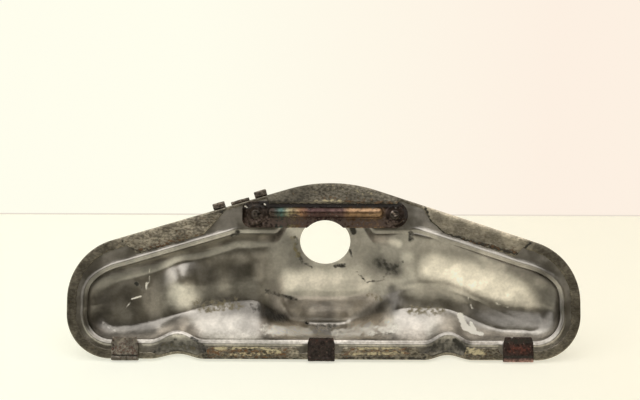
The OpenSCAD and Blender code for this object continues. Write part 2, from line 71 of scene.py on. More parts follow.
def pale_paint(name, left, right, own_light, lit_share):
    """Paint with light of its own where the camera and the steel see it; lit_share of it is plain matt.
    From behind it is clear, so that the back of the shield can be looked at past the wall."""
    paint = bpy.data.materials.new(name)
    paint.use_nodes = True
    nodes, links = paint.node_tree.nodes, paint.node_tree.links
    nodes.clear()
    out = nodes.new("ShaderNodeOutputMaterial")
    place = nodes.new("ShaderNodeTexCoord")
    split = nodes.new("ShaderNodeSeparateXYZ")
    links.new(place.outputs["Object"], split.inputs[0])
    across = nodes.new("ShaderNodeMapRange")
    across.inputs["From Min"].default_value = TINT_LEFT_X
    across.inputs["From Max"].default_value = TINT_RIGHT_X
    links.new(split.outputs["X"], across.inputs["Value"])
    tint = nodes.new("ShaderNodeMix")
    tint.data_type = "RGBA"
    tint.inputs["A"].default_value, tint.inputs["B"].default_value = left, right
    links.new(across.outputs[0], tint.inputs["Factor"])
    matt = nodes.new("ShaderNodeBsdfDiffuse")
    links.new(tint.outputs["Result"], matt.inputs["Color"])
    glow = nodes.new("ShaderNodeEmission")
    links.new(tint.outputs["Result"], glow.inputs["Color"])
    glow.inputs["Strength"].default_value = own_light
    clear = nodes.new("ShaderNodeBsdfTransparent")
    path, side = nodes.new("ShaderNodeLightPath"), nodes.new("ShaderNodeNewGeometry")

    def either(first, second):
        most = nodes.new("ShaderNodeMath")
        most.operation = "MAXIMUM"
        links.new(first, most.inputs[0])
        links.new(second, most.inputs[1])
        return most.outputs[0]

    def blended(first, second, share):
        blend = nodes.new("ShaderNodeMixShader")
        if isinstance(share, float):
            blend.inputs["Fac"].default_value = share
        else:
            links.new(share, blend.inputs["Fac"])
        links.new(first, blend.inputs[1])
        links.new(second, blend.inputs[2])
        return blend.outputs[0]

    looked_at = either(either(path.outputs["Is Camera Ray"], path.outputs["Is Glossy Ray"]),
                       path.outputs["Is Transmission Ray"])
    shown = blended(glow.outputs[0], matt.outputs[0], lit_share)
    front = blended(matt.outputs[0], shown, looked_at)
    links.new(blended(front, clear.outputs[0], side.outputs["Backfacing"]), out.inputs["Surface"])
    return paint


bpy.ops.object.select_all(action="DESELECT")
bpy.ops.mesh.primitive_plane_add(size=TABLE_SIZE)
table = bpy.context.object
table.name = "table"
table.data.materials.append(pale_paint("table_paint", TABLE_LEFT, TABLE_RIGHT, own_light=1.18, lit_share=0.5))
bpy.ops.mesh.primitive_plane_add(size=WALL_SIZE)
wall_board = bpy.context.object
wall_board.name = "wall"
wall_board.data.transform(Matrix.Translation((0, WALL_Y, WALL_SIZE / 2))
                          @ Matrix.Rotation(math.pi / 2, 4, "X"))
wall_board.data.materials.append(pale_paint("wall_paint", WALL_LEFT, WALL_RIGHT, own_light=1.0, lit_share=0.0))
# The wall's foot: a thin glowing strip of painted shadow.
bpy.ops.mesh.primitive_plane_add(size=WALL_SIZE)
wall_foot_shadow = bpy.context.object
wall_foot_shadow.name = "wall_foot_shadow"
wall_foot_shadow.data.transform(Matrix.Translation((0, WALL_Y - FOOT_AHEAD, FOOT_H / 2))
                         @ Matrix.Rotation(math.pi / 2, 4, "X")
                         @ Matrix.Diagonal((1, FOOT_H / WALL_SIZE, 1, 1)))
wall_foot_shadow.data.materials.append(pale_paint("foot_paint", FOOT_SHADE, FOOT_SHADE, own_light=1.0, lit_share=0.0))


# Light: a wide soft lamp overhead, a small one from the left, and a dim warm room all round, which
# is what the dark parts of the steel mirror.
CEILING_LAMP = {"place": (-0.2, -0.35, 1.5), "aim": (0, 0, 0), "size": (2.8, 1.6), "power": 22}
WINDOW_LAMP = {"place": (-1.4, -0.9, 0.8), "aim": (0, 0, 0.05), "size": (0.9, 0.9), "power": 3}
ROOM_COLOUR = (0.140, 0.125, 0.090, 1)


def soft_lamp(name, place, aim, size, power):
    lamp = bpy.data.lights.new(name, "AREA")
    lamp.shape = "RECTANGLE"
    lamp.size, lamp.size_y = size
    lamp.energy = power
    lamp_object = bpy.data.objects.new(name, lamp)
    lamp_object.location = place
    lamp_object.rotation_euler = (Vector(aim) - Vector(place)).to_track_quat("-Z", "Y").to_euler()
    bpy.context.scene.collection.objects.link(lamp_object)


soft_lamp("ceiling_lamp", **CEILING_LAMP)
soft_lamp("window_lamp", **WINDOW_LAMP)
world = bpy.data.worlds.new("room")
world.use_nodes = True
world.node_tree.nodes["Background"].inputs["Color"].default_value = ROOM_COLOUR
world.node_tree.nodes["Background"].inputs["Strength"].default_value = 1.0
bpy.context.scene.world = world


# Inner sheet: aluminised steel 0.8 mm thick, drawn into a bowl with a flange and a stiffening bead.
# It is held in the hem of the outer sheet. All its lengths are in millimetres, worked out flat:
# x along the shield, z up the flange, y behind it; it leans back last.
SKIN, HEM_GAP = 0.8, 0.2
# Outline: crown, shoulders and corners, and the spine between them that every line runs to.
EDGE_Z, SHEET_H, HALF_W = 1.5, 148, 215.5
CROWN_X, CROWN_R, CROWN_Z = 6, 128, EDGE_Z + SHEET_H
SLOPE_LEFT, SLOPE_RIGHT = math.radians(16.4), math.radians(18)
SHOULDER_R, CORNER_R = 52, 37.5
SPINE_X, SPINE_Z = HALF_W - SHOULDER_R, 55
CORNER_X, CORNER_Z = HALF_W - CORNER_R, EDGE_Z + CORNER_R
END_LOW_EASE, END_HIGH_EASE = (EDGE_Z, CORNER_Z - 5), (SPINE_Z + 5, CROWN_Z - 45)
# Flange and bead, and the two arches in the bottom edge.
FLANGE_BOTTOM, FLANGE_END, FLANGE_TOP, WAVE_Y = 11, 12, 18.5, 0.10
BEAD_W, BEAD_H, BEAD_EASE, BEND_Y, BEND_POWER = 5, 0.9, 16, 1.5, 2.5
ARCHES, ARCH_D, ARCH_RISE, ARCH_LIFT = ((-122, 46), (105, 40)), 8.5, 7.5, 3.5
# Sensor hole, and the sloping faces at it and on both sides: slope, depth, lowest height.
HOLE_X, HOLE_R, HOLE_Z, HOLE_Y, HOLE_CLEAR = 1.5, 21.5, 100.3, 15, 1
BORE_SIDES, BORE_DEPTH = 128, 0.06
FACE_PITCH, FACE_LOW_Z = math.radians(26), 52
LEFT_PITCH, LEFT_Y, LEFT_LOW_Z = math.radians(5), 16, 60
RIGHT_PITCH, RIGHT_Y, RIGHT_LOW_Z, RIGHT_END_Z = math.radians(22), 3, 62, 30
LEFT_ASIDE, RIGHT_ASIDE = (HOLE_R + 10, 58), (HOLE_R + 12, 84)
END_SHARE, END_EASE, RIGHT_DROP = 0.6, (100, HALF_W - 15), (90, HALF_W - 25)
LIP_H, LIP_R, ROLL_H = 4, 6, 22
# The deep trough, and the deepest line on both sides of it, which rises over two humps.
TROUGH_X, TROUGH_EASE, TROUGH_MID_Y, TROUGH_SIDE_Y = 4, (14, 62), 62, 21
TROUGH_MID_Z, TROUGH_HUMP_Z, TROUGH_END_Z, HUMP_X = 31, (50, 44), 26, (-62, 76)
LEFT_FALL, RIGHT_FALL = (-HUMP_X[0], HALF_W - 25), (98, SPINE_X - 7)
# Wall from the bead into the bowl: its width and roundness; then one dent in the left pocket.
WALL_LEFT_END, WALL_RIGHT_END, WALL_FLANK, WALL_CROWN = 15, 22, 12, 6
ROUND_TROUGH, ROUND_POCKET, ROUND_POCKET_END, ROUND_TOP = 2.6, 1.15, 0.4, 1.6
ROUND_CORNER, ROUND_LEFT, ROUND_RIGHT = 1.55, 1.8, 2.4
ROUND_EASE, ROUND_END_EASE = (8, 40), (96, SPINE_X)
FOLD_X, FOLD_Z, FOLD_W, FOLD_H, FOLD_Y = -121, 67, 12, 17, 7
# The strap and the clips (each with its middle, width and height), which the bead makes room for.
STRAP_H, STRAP_Z, STRAP_CLEAR, RIVET_PITCH = 22.4, 122.8, 2, 117
STRAP_END_X, SEAT_EASE = (RIVET_PITCH + STRAP_H) / 2, 12
CLIPS, CLIP_EASE = ((-166, 22.5, 19.8), (-1.5, 22.5, 19.8), (163, 25, 20.8)), 8
# The lean, and how finely the sheet is divided.
LEAN, LEAN_Y, LEAN_Z = math.radians(22.1704), -0.0346239, 0.00116982
LEAN_BACK = Matrix.Translation((0, LEAN_Y, LEAN_Z)) @ Matrix.Rotation(-LEAN, 4, "X")
STEP, MERGE_M, SHEET_ANGLE = 1.35, 0.000002, 40
FLANK_STEPS, SHOULDER_STEPS, DROP_STEPS, CORNER_STEPS, FOOT_STEPS = 14, 52, 10, 44, 13
FLANGE_LINES, BEAD_LINES, WALL_LINES, WALL_CROWDING, BOWL_LINES = 8, 10, 17, 1.6, 33
FLAT_LINES, BACK_EVERY = 4, 3


def mix(a, b, t):
    return a + (b - a) * t


def soft(a, b, t):
    """0 up to a, 1 from b on, and an even ease between them."""
    u = np.clip((t - a) / (b - a), 0, 1)
    return u * u * (3 - 2 * u)


def top_slope(x):
    return np.arcsin(np.clip((x - CROWN_X) / CROWN_R, -math.sin(SLOPE_LEFT), math.sin(SLOPE_RIGHT)))


def top_z(x):
    u = np.abs(x - CROWN_X)
    a = np.where(x < CROWN_X, SLOPE_LEFT, SLOPE_RIGHT)
    arc = np.sqrt(np.maximum(CROWN_R ** 2 - u * u, 0))
    slope = CROWN_R / np.cos(a) - u * np.tan(a)
    return CROWN_Z - CROWN_R + np.where(u < CROWN_R * np.sin(a), arc, slope)


def arch(x):
    """How far each place is inside an arch of the bottom edge, from 0 to 1."""
    found = [np.where(np.abs(x - c) < w / 2, np.cos(np.pi * (x - c) / w) ** 2, 0.0) for c, w in ARCHES]
    return np.maximum(*found)


def stations():
    """Edge point, spine point, inward way and zone at each station, clockwise from the upper left.
    The zones are 0 for the top edge, 1 for the bottom edge and 2 for the ends."""
    xs = np.linspace(-SPINE_X, SPINE_X, int(2 * SPINE_X / STEP))
    top = np.c_[xs, top_z(xs), xs, 0 * xs + SPINE_Z,
                -np.sin(top_slope(xs)), -np.cos(top_slope(xs)), 0 * xs]
    low = np.c_[xs, EDGE_Z + ARCH_LIFT * arch(xs), xs, 0 * xs + SPINE_Z,
                0 * xs, 0 * xs + 1, 0 * xs + 1][::-1]
    ends = {}
    for side, slope in ((1, SLOPE_RIGHT), (-1, SLOPE_LEFT)):
        centre_z = float(top_z(np.float64(side * SPINE_X))) - SHOULDER_R / math.cos(slope)
        flank = np.linspace(0, 1, FLANK_STEPS)[1:-1] * SHOULDER_R * math.sin(slope) + SPINE_X
        turn = np.linspace(math.pi / 2 - slope, 0, SHOULDER_STEPS)
        drop = np.linspace(centre_z, CORNER_Z, DROP_STEPS)[1:-1]
        corner = np.linspace(0, -math.pi / 2, CORNER_STEPS)
        foot = np.linspace(CORNER_X, SPINE_X, FOOT_STEPS)[1:-1]
        x = np.r_[flank, SPINE_X + SHOULDER_R * np.cos(turn), 0 * drop + HALF_W,
                  CORNER_X + CORNER_R * np.cos(corner), foot]
        z = np.r_[top_z(side * flank), centre_z + SHOULDER_R * np.sin(turn), drop,
                  CORNER_Z + CORNER_R * np.sin(corner), 0 * foot + EDGE_Z]
        way = np.r_[0 * flank + math.pi / 2 - slope, turn, 0 * drop, corner, 0 * foot - math.pi / 2]
        ends[side] = np.c_[side * x, z, 0 * x + side * SPINE_X, 0 * x + SPINE_Z,
                           -side * np.cos(way), -np.sin(way), 0 * x + 2]
    return np.vstack([top, ends[1], low, ends[-1][::-1]])


EX, EZ, SX, SZ, NX, NZ, ZONE = stations().T
RAY = np.c_[SX - EX, SZ - EZ]
RAY_L = np.hypot(*RAY.T)
RAY = RAY / RAY_L[:, None]
LEAD = 1 / (RAY[:, 0] * NX + RAY[:, 1] * NZ)
ON_TOP, ON_LOW, ON_END = ZONE == 0, ZONE == 1, ZONE == 2


def trough_z(x):
    """Height of the deepest line of the bowl; it rises over the two humps beside the trough."""
    left = (mix(TROUGH_MID_Z, TROUGH_HUMP_Z[0], soft(HOLE_R, -HUMP_X[0], -x))
            - (TROUGH_HUMP_Z[0] - TROUGH_END_Z) * soft(*LEFT_FALL, -x))
    right = (mix(TROUGH_MID_Z, TROUGH_HUMP_Z[1], soft(HOLE_R / 2, HUMP_X[1], x))
             - (TROUGH_HUMP_Z[1] - TROUGH_END_Z) * soft(*RIGHT_FALL, x))
    return np.where(x < 0, left, right)


def trough_y(x):
    return mix(TROUGH_MID_Y, TROUGH_SIDE_Y, soft(*TROUGH_EASE, np.abs(x - TROUGH_X)))


def along_ends(low, end, high):
    """Eases from a value at the bottom corner to one at the end and one at the shoulder."""
    return mix(low, mix(end, high, soft(*END_HIGH_EASE, EZ)), soft(*END_LOW_EASE, EZ))


SEAT = 1 - soft(STRAP_END_X, STRAP_END_X + SEAT_EASE, np.abs(EX - HOLE_X))
HOLE_TOP = HOLE_Z + HOLE_R * math.cos(FACE_PITCH)
SEAT_W = (top_z(EX) - mix(HOLE_TOP + HOLE_CLEAR + BEAD_W + WALL_CROWN,
                          STRAP_Z - STRAP_H / 2 - STRAP_CLEAR + BEAD_W / 2,
                          soft(HOLE_R + 2, 2 * HOLE_R, np.abs(EX - HOLE_X)))) * np.cos(top_slope(EX))
FLANGE_W = np.select([ON_TOP, ON_LOW],
                     [mix(FLANGE_TOP, SEAT_W, SEAT), FLANGE_BOTTOM + (ARCH_RISE - ARCH_LIFT) * arch(EX)],
                     along_ends(FLANGE_BOTTOM, FLANGE_END, FLANGE_TOP))
CLEAR = np.prod([soft(w / 2, w / 2 + CLIP_EASE, np.abs(EX - c)) for c, w, _ in CLIPS], axis=0)
BEAD = BEAD_H * np.select([ON_TOP, EZ > SPINE_Z],
                          [soft(STRAP_END_X, STRAP_END_X + BEAD_EASE, np.abs(EX - HOLE_X)), 1.0], CLEAR)
WALL_W = np.select([ON_TOP, ON_LOW],
                   [mix(WALL_CROWN, WALL_FLANK, soft(HOLE_R, STRAP_END_X, np.abs(EX - HOLE_X))),
                    trough_z(EX) - EZ - FLANGE_W - BEAD_W],
                   along_ends(trough_z(SX) - EDGE_Z - FLANGE_BOTTOM - BEAD_W,
                              np.where(EX < 0, WALL_LEFT_END, WALL_RIGHT_END), WALL_FLANK))
ROUNDNESS = np.select([ON_LOW, ON_TOP],
                      [mix(ROUND_TROUGH, ROUND_POCKET, soft(*ROUND_EASE, np.abs(EX - TROUGH_X)))
                       + ROUND_POCKET_END * soft(*ROUND_END_EASE, np.abs(EX)), ROUND_TOP],
                      along_ends(ROUND_CORNER, np.where(EX < 0, ROUND_LEFT, ROUND_RIGHT), ROUND_TOP))


def bowl_y(x, z):
    """Depth of the bowl: a sloping face round the hole, a pocket on each side, the trough below."""
    aside = np.where(x < 0, soft(*LEFT_ASIDE, -x), soft(*RIGHT_ASIDE, x))
    at_hole = mix(HOLE_Y, np.where(x < 0, LEFT_Y, RIGHT_Y), aside)
    slope = mix(math.tan(FACE_PITCH), np.tan(np.where(x < 0, LEFT_PITCH, RIGHT_PITCH)), aside)
    right_low = mix(RIGHT_LOW_Z, RIGHT_END_Z, soft(*RIGHT_DROP, x))
    low = mix(FACE_LOW_Z, np.where(x < 0, LEFT_LOW_Z, right_low), aside)
    over = np.maximum(z, low) + LIP_H * np.exp(-((z - low) / LIP_R) ** 2)
    face = at_hole + (HOLE_Z - over) * slope
    deep = mix(trough_y(x), face, soft(trough_z(x), trough_z(x) + ROLL_H, z))
    deep = deep * mix(1, END_SHARE, soft(*END_EASE, np.abs(x)))
    fold = np.exp(-((x - FOLD_X) / FOLD_W) ** 2 - ((z - FOLD_Z) / FOLD_H) ** 2)
    return deep - FOLD_Y * fold


def ring(s_of, y_of):
    """One closed line round the shell: s_of is its distance from the edge, y_of(x, z, s) its depth."""
    x, z = EX + RAY[:, 0] * s_of * LEAD, EZ + RAY[:, 1] * s_of * LEAD
    return np.c_[x, y_of(x, z, s_of), z]


def arch_dip(s):
    """The bottom edge bends back at the arches, most of all at its rim."""
    return np.where(ON_LOW, ARCH_D * arch(EX) * np.maximum(0, 1 - s / (FLANGE_W + BEAD_W)), 0)


def wavy(x, z):
    """The slight waves of a pressed flange."""
    return WAVE_Y * np.sin(x * 0.21 + 1.3 * np.sin(z * 0.11)) * np.sin(z * 0.19 + x * 0.043)


def shell_rings():
    """All lines of the pressed face from the edge of the inner sheet to the spine."""
    rings = []
    for t in np.linspace(0, 1, FLANGE_LINES):
        s = mix(SKIN + HEM_GAP, FLANGE_W, t)
        rings.append(ring(s, lambda x, z, s: arch_dip(s) + wavy(x, z) * t * (1 - SEAT)))
    for t in np.linspace(0, 1, BEAD_LINES)[1:]:
        s = FLANGE_W + BEAD_W * t
        # The bead takes four fifths of its strip; the bend into the wall grows over all of it.
        lump = np.sin(np.pi * min(1, t * 1.25)) ** 2 if t < 0.8 else 0.0
        rings.append(ring(s, lambda x, z, s: arch_dip(s) - BEAD * lump + BEND_Y * t ** BEND_POWER))
    for q in np.linspace(0, 1, WALL_LINES)[1:] ** WALL_CROWDING:
        s = FLANGE_W + BEAD_W + WALL_W * q
        sunk = (1 - (1 - q) ** ROUNDNESS) ** (1 / ROUNDNESS)
        rings.append(ring(s, lambda x, z, s: mix(BEND_Y, bowl_y(x, z), sunk)))
    for t in np.linspace(0, 1, BOWL_LINES)[1:]:
        s = mix(FLANGE_W + BEAD_W + WALL_W, RAY_L / LEAD, t)
        rings.append(ring(s, lambda x, z, s: bowl_y(x, z)))
    return np.array(rings)


BASE = shell_rings()


def backward(lines):
    """The way out of the back of the sheet at each point of the lines."""
    along = np.roll(lines, -1, axis=1) - np.roll(lines, 1, axis=1)
    across = np.gradient(lines, axis=0)
    n = np.cross(along, across)
    n[-1] = n[-2]
    n /= np.maximum(np.linalg.norm(n, axis=2, keepdims=True), 1e-9)
    return np.where(n[:, :, 1:2] < 0, -n, n)


# The two long runs of lines meet on the spine, where both sides take one shared way out.
BACK = backward(BASE)
BACK[:FLAT_LINES] = (0, 1, 0)
n_top = int(ON_TOP.sum())
n_end = int(ON_END.sum()) // 2
spine_of = np.r_[np.arange(n_top), np.full(n_end, n_top - 1),
                 np.arange(n_top)[::-1], np.full(n_end, 0)]
spine_n = BACK[-2, :n_top] + BACK[-2, n_top + n_end:2 * n_top + n_end][::-1]
spine_n /= np.linalg.norm(spine_n, axis=1, keepdims=True)
BACK[-1] = spine_n[spine_of]


def layer(depth, rings=slice(None)):
    """The lines of the pressed face, all or some of them, moved out of its back by a depth."""
    return (BASE + BACK * depth)[rings]


# The hidden faces between the two sheets need only every third line.
COARSE = sorted({*range(0, len(BASE), BACK_EVERY), len(BASE) - 1})


def closed_sheet(name, lines):
    """A grid whose lines run round the shell; its two long ends meet on the spine."""
    bpy.ops.object.select_all(action="DESELECT")
    rows, around = len(lines), lines.shape[1]
    bpy.ops.mesh.primitive_grid_add(x_subdivisions=around, y_subdivisions=rows - 1, size=1)
    piece = bpy.context.object
    piece.name = piece.data.name = name
    wrapped = np.concatenate([lines, lines[:, :1]], axis=1).reshape(-1, 3) / 1000
    lean = np.array(LEAN_BACK)
    wrapped = wrapped @ lean[:3, :3].T + lean[:3, 3]
    piece.data.vertices.foreach_set("co", wrapped.astype(np.float32).ravel())
    bpy.ops.object.mode_set(mode="EDIT")
    bpy.ops.mesh.select_all(action="SELECT")
    bpy.ops.mesh.remove_doubles(threshold=MERGE_M)
    bpy.ops.mesh.normals_make_consistent(inside=False)
    bpy.ops.object.mode_set(mode="OBJECT")
    return piece


def picked(piece):
    """Only this piece is selected and worked on."""
    bpy.ops.object.select_all(action="DESELECT")
    bpy.context.view_layer.objects.active = piece
    piece.select_set(True)


def cut_away(piece, tool):
    """Takes the tool's form out of the piece and removes the tool."""
    picked(piece)
    cut = piece.modifiers.new("cut", "BOOLEAN")
    cut.operation, cut.object, cut.solver = "DIFFERENCE", tool, "EXACT"
    bpy.ops.object.modifier_apply(modifier=cut.name)
    bpy.data.objects.remove(tool)


def bore_tool(radius):
    """A drill for the sensor hole, square to the sloping face."""
    bpy.ops.object.select_all(action="DESELECT")
    bpy.ops.mesh.primitive_cylinder_add(vertices=BORE_SIDES, radius=radius / 1000, depth=BORE_DEPTH)
    tool = bpy.context.object
    tool.data.transform(Matrix.Translation((HOLE_X / 1000, HOLE_Y / 1000, HOLE_Z / 1000))
                        @ Matrix.Rotation(math.pi / 2 + FACE_PITCH, 4, "X"))
    tool.data.transform(LEAN_BACK)
    return tool


def smooth(piece, degrees):
    picked(piece)
    bpy.ops.object.shade_smooth_by_angle(angle=math.radians(degrees))


inner_lines = np.concatenate([layer(0)[::-1], layer(SKIN, COARSE)])
inner_sheet = closed_sheet("inner_sheet", inner_lines)
cut_away(inner_sheet, bore_tool(HOLE_R))
smooth(inner_sheet, SHEET_ANGLE)


def in_photo(points):
    """Where points of a mesh are seen in the photograph, in its pixels."""
    eye = np.array(EYE)
    ahead = np.array([-math.sin(LOOK_LEFT) * math.cos(LOOK_DOWN),
                      math.cos(LOOK_LEFT) * math.cos(LOOK_DOWN), -math.sin(LOOK_DOWN)])
    right = np.array([math.cos(LOOK_LEFT), math.sin(LOOK_LEFT), 0])
    up = np.cross(right, ahead)
    way = points - eye
    far = way @ ahead
    return (PHOTO_W / 2 + FOCAL_PX * (way @ right) / far,
            PHOTO_H / 2 - FOCAL_PX * (way @ up) / far)


def brushed_over(seen_x, seen_y, start, strokes):
    """Soft strokes laid over each other: from x, y to x, y in the photograph, half width, value.
    Each is full in its core and fades out to its rim, both as shares of the half width."""
    core, rim = 0.2, 1.25
    value = np.full(len(seen_x), float(start))
    for x0, y0, x1, y1, wide, aim in strokes:
        dx, dy = x1 - x0, y1 - y0
        along = np.clip(((seen_x - x0) * dx + (seen_y - y0) * dy) / max(dx * dx + dy * dy, 1e-6), 0, 1)
        off = np.hypot(seen_x - x0 - along * dx, seen_y - y0 - along * dy)
        value = mix(value, aim, 1 - soft(core * wide, rim * wide, off))
    return value


def points_of(piece):
    flat = np.empty(len(piece.data.vertices) * 3, np.float32)
    piece.data.vertices.foreach_get("co", flat)
    return flat.reshape(-1, 3).astype(float)


def finish_map(piece, name, values):
    """Writes one value for each point of the piece, which its material reads."""
    written = piece.data.attributes.new(name, "FLOAT", "POINT")
    written.data.foreach_set("value", np.asarray(values, np.float32))


def mottle_group():
    """A noise of a given scale, cut to a mask between two levels."""
    group = bpy.data.node_groups.new("mottle", "ShaderNodeTree")
    starts = (("Scale", 100.0), ("Detail", 3.0), ("Low", 0.4), ("High", 0.6), ("Stretch", 1.0))
    for name, value in starts:
        socket = group.interface.new_socket(name, in_out="INPUT", socket_type="NodeSocketFloat")
        socket.default_value = value
    group.interface.new_socket("Mask", in_out="OUTPUT", socket_type="NodeSocketFloat")
    nodes, links = group.nodes, group.links
    given, out = nodes.new("NodeGroupInput"), nodes.new("NodeGroupOutput")
    place = nodes.new("ShaderNodeTexCoord")
    pull = nodes.new("ShaderNodeCombineXYZ")
    links.new(given.outputs["Stretch"], pull.inputs["X"])
    pull.inputs["Y"].default_value = pull.inputs["Z"].default_value = 1.0
    spread = nodes.new("ShaderNodeVectorMath")
    spread.operation = "MULTIPLY"
    links.new(place.outputs["Object"], spread.inputs[0])
    links.new(pull.outputs[0], spread.inputs[1])
    noise = nodes.new("ShaderNodeTexNoise")
    links.new(spread.outputs[0], noise.inputs["Vector"])
    links.new(given.outputs["Scale"], noise.inputs["Scale"])
    links.new(given.outputs["Detail"], noise.inputs["Detail"])
    cut = nodes.new("ShaderNodeMapRange")
    cut.interpolation_type = "SMOOTHSTEP"
    links.new(noise.outputs["Fac"], cut.inputs["Value"])
    links.new(given.outputs["Low"], cut.inputs["From Min"])
    links.new(given.outputs["High"], cut.inputs["From Max"])
    links.new(cut.outputs[0], out.inputs["Mask"])
    return group


MOTTLE = mottle_group()
MARK_LOW, MARK_HIGH = 0.25, 0.7
MARK_METAL, MARK_ROUGHER, ROUGH_SWING = 0.12, 0.35, 0.10


def worn_steel(name, colour, rough, uneven, pits, soot_and_shade=(0.030, 0.027, 0.020), rust=(0.20, 0.085, 0.03),
               chalk=(0.97, 0.93, 0.83), gleam=1.0, heat_tints=(), grain=500.0, stretch=1.0, frayed=0.7):
    """Steel whose brightness, grit, soot and painted shade, rust and chalky marks follow the piece's own maps.
    uneven: (scale, share) of a broad mottle and of the grit; pits: (scale, depth in metres) of two bumps;
    heat_tints: (x in mm, colour) along the piece, in place of its one colour; gleam: how metallic it is
    where no mark lies; grain, frayed: scale and depth of the marks' broken edges."""
    steel = bpy.data.materials.new(name)
    steel.use_nodes = True
    nodes, links = steel.node_tree.nodes, steel.node_tree.links
    shader = nodes["Principled BSDF"]

    def mottle(scale, detail=3.0, low=0.3, high=0.7, pulled=1.0):
        used = nodes.new("ShaderNodeGroup")
        used.node_tree = MOTTLE
        for socket, value in zip(used.inputs, (scale, detail, low, high, pulled)):
            socket.default_value = value
        return used.outputs[0]

    def reckon(kind, *terms):
        step = nodes.new("ShaderNodeMath")
        step.operation = kind
        for socket, term in zip(step.inputs, terms):
            if isinstance(term, (int, float)):
                socket.default_value = term
            else:
                links.new(term, socket)
        return step.outputs[0]

    def ranged(value, to_min, to_max, low=0.0, high=1.0):
        step = nodes.new("ShaderNodeMapRange")
        step.interpolation_type = "SMOOTHSTEP"
        links.new(value, step.inputs["Value"])
        ends = (("From Min", low), ("From Max", high), ("To Min", to_min), ("To Max", to_max))
        for key, number in ends:
            step.inputs[key].default_value = number
        return step.outputs[0]

    def map_of(key):
        read = nodes.new("ShaderNodeAttribute")
        read.attribute_name = key
        return read.outputs["Fac"]

    def laid_over(under, over, mask):
        blend = nodes.new("ShaderNodeMix")
        blend.data_type = "RGBA"
        links.new(mask, blend.inputs["Factor"])
        links.new(under, blend.inputs["A"])
        blend.inputs["B"].default_value = (*over, 1)
        return blend.outputs["Result"]

    (broad_scale, broad_share), (grit_scale, grit_share) = uneven
    fine = mottle(grit_scale, detail=6.0, pulled=stretch)
    patchy = mottle(broad_scale)
    bright = reckon("MULTIPLY", map_of("tone"), ranged(patchy, 1 - broad_share, 1 + broad_share))
    speckle = reckon("MULTIPLY", ranged(fine, -grit_share, grit_share), map_of("grit"))
    bright = reckon("MULTIPLY", bright, reckon("ADD", speckle, 1.0))
    bare = nodes.new("ShaderNodeVectorMath")
    bare.operation = "SCALE"
    bare.inputs[0].default_value = colour
    if heat_tints:
        place = nodes.new("ShaderNodeTexCoord")
        split = nodes.new("ShaderNodeSeparateXYZ")
        links.new(place.outputs["Object"], split.inputs[0])
        first, last = heat_tints[0][0], heat_tints[-1][0]
        along = nodes.new("ShaderNodeMapRange")
        along.inputs["From Min"].default_value = first / 1000
        along.inputs["From Max"].default_value = last / 1000
        links.new(split.outputs["X"], along.inputs["Value"])
        bands = nodes.new("ShaderNodeValToRGB")
        while len(bands.color_ramp.elements) < len(heat_tints):
            bands.color_ramp.elements.new(0.5)
        for stop, (x_mm, tint) in zip(bands.color_ramp.elements, heat_tints):
            stop.position = (x_mm - first) / (last - first)
            stop.color = (*tint, 1)
        links.new(along.outputs[0], bands.inputs[0])
        links.new(bands.outputs[0], bare.inputs[0])
    links.new(bright, bare.inputs["Scale"])
    shown, cover = bare.outputs[0], None
    breaks = mottle(grain, detail=6.0, low=0.25, high=0.75, pulled=stretch)
    for key, paint in (("soot_and_shade", soot_and_shade), ("rust", rust), ("chalk", chalk)):
        amount = reckon("SUBTRACT", map_of(key), frayed / 2)
        mask = ranged(reckon("MULTIPLY_ADD", breaks, frayed, amount), 0.0, 1.0, MARK_LOW, MARK_HIGH)
        shown = laid_over(shown, paint, mask)
        cover = mask if cover is None else reckon("MAXIMUM", cover, mask)
    links.new(shown, shader.inputs["Base Color"])
    links.new(ranged(cover, gleam, MARK_METAL), shader.inputs["Metallic"])
    sheen = reckon("MULTIPLY_ADD", patchy, ROUGH_SWING, rough - ROUGH_SWING / 2)
    links.new(reckon("MULTIPLY_ADD", cover, MARK_ROUGHER, sheen), shader.inputs["Roughness"])
    (dent_scale, dent_depth), (pit_scale, pit_depth) = pits
    dents = reckon("MULTIPLY_ADD", mottle(dent_scale, low=0.2, high=0.8), dent_depth,
                   reckon("MULTIPLY", mottle(pit_scale, detail=4.0, low=0.2, high=0.8), pit_depth))
    dents = reckon("MULTIPLY_ADD", cover, pit_depth, dents)
    bump = nodes.new("ShaderNodeBump")
    bump.inputs["Distance"].default_value = 1.0
    links.new(dents, bump.inputs["Height"])
    links.new(bump.outputs[0], shader.inputs["Normal"])
    return steel
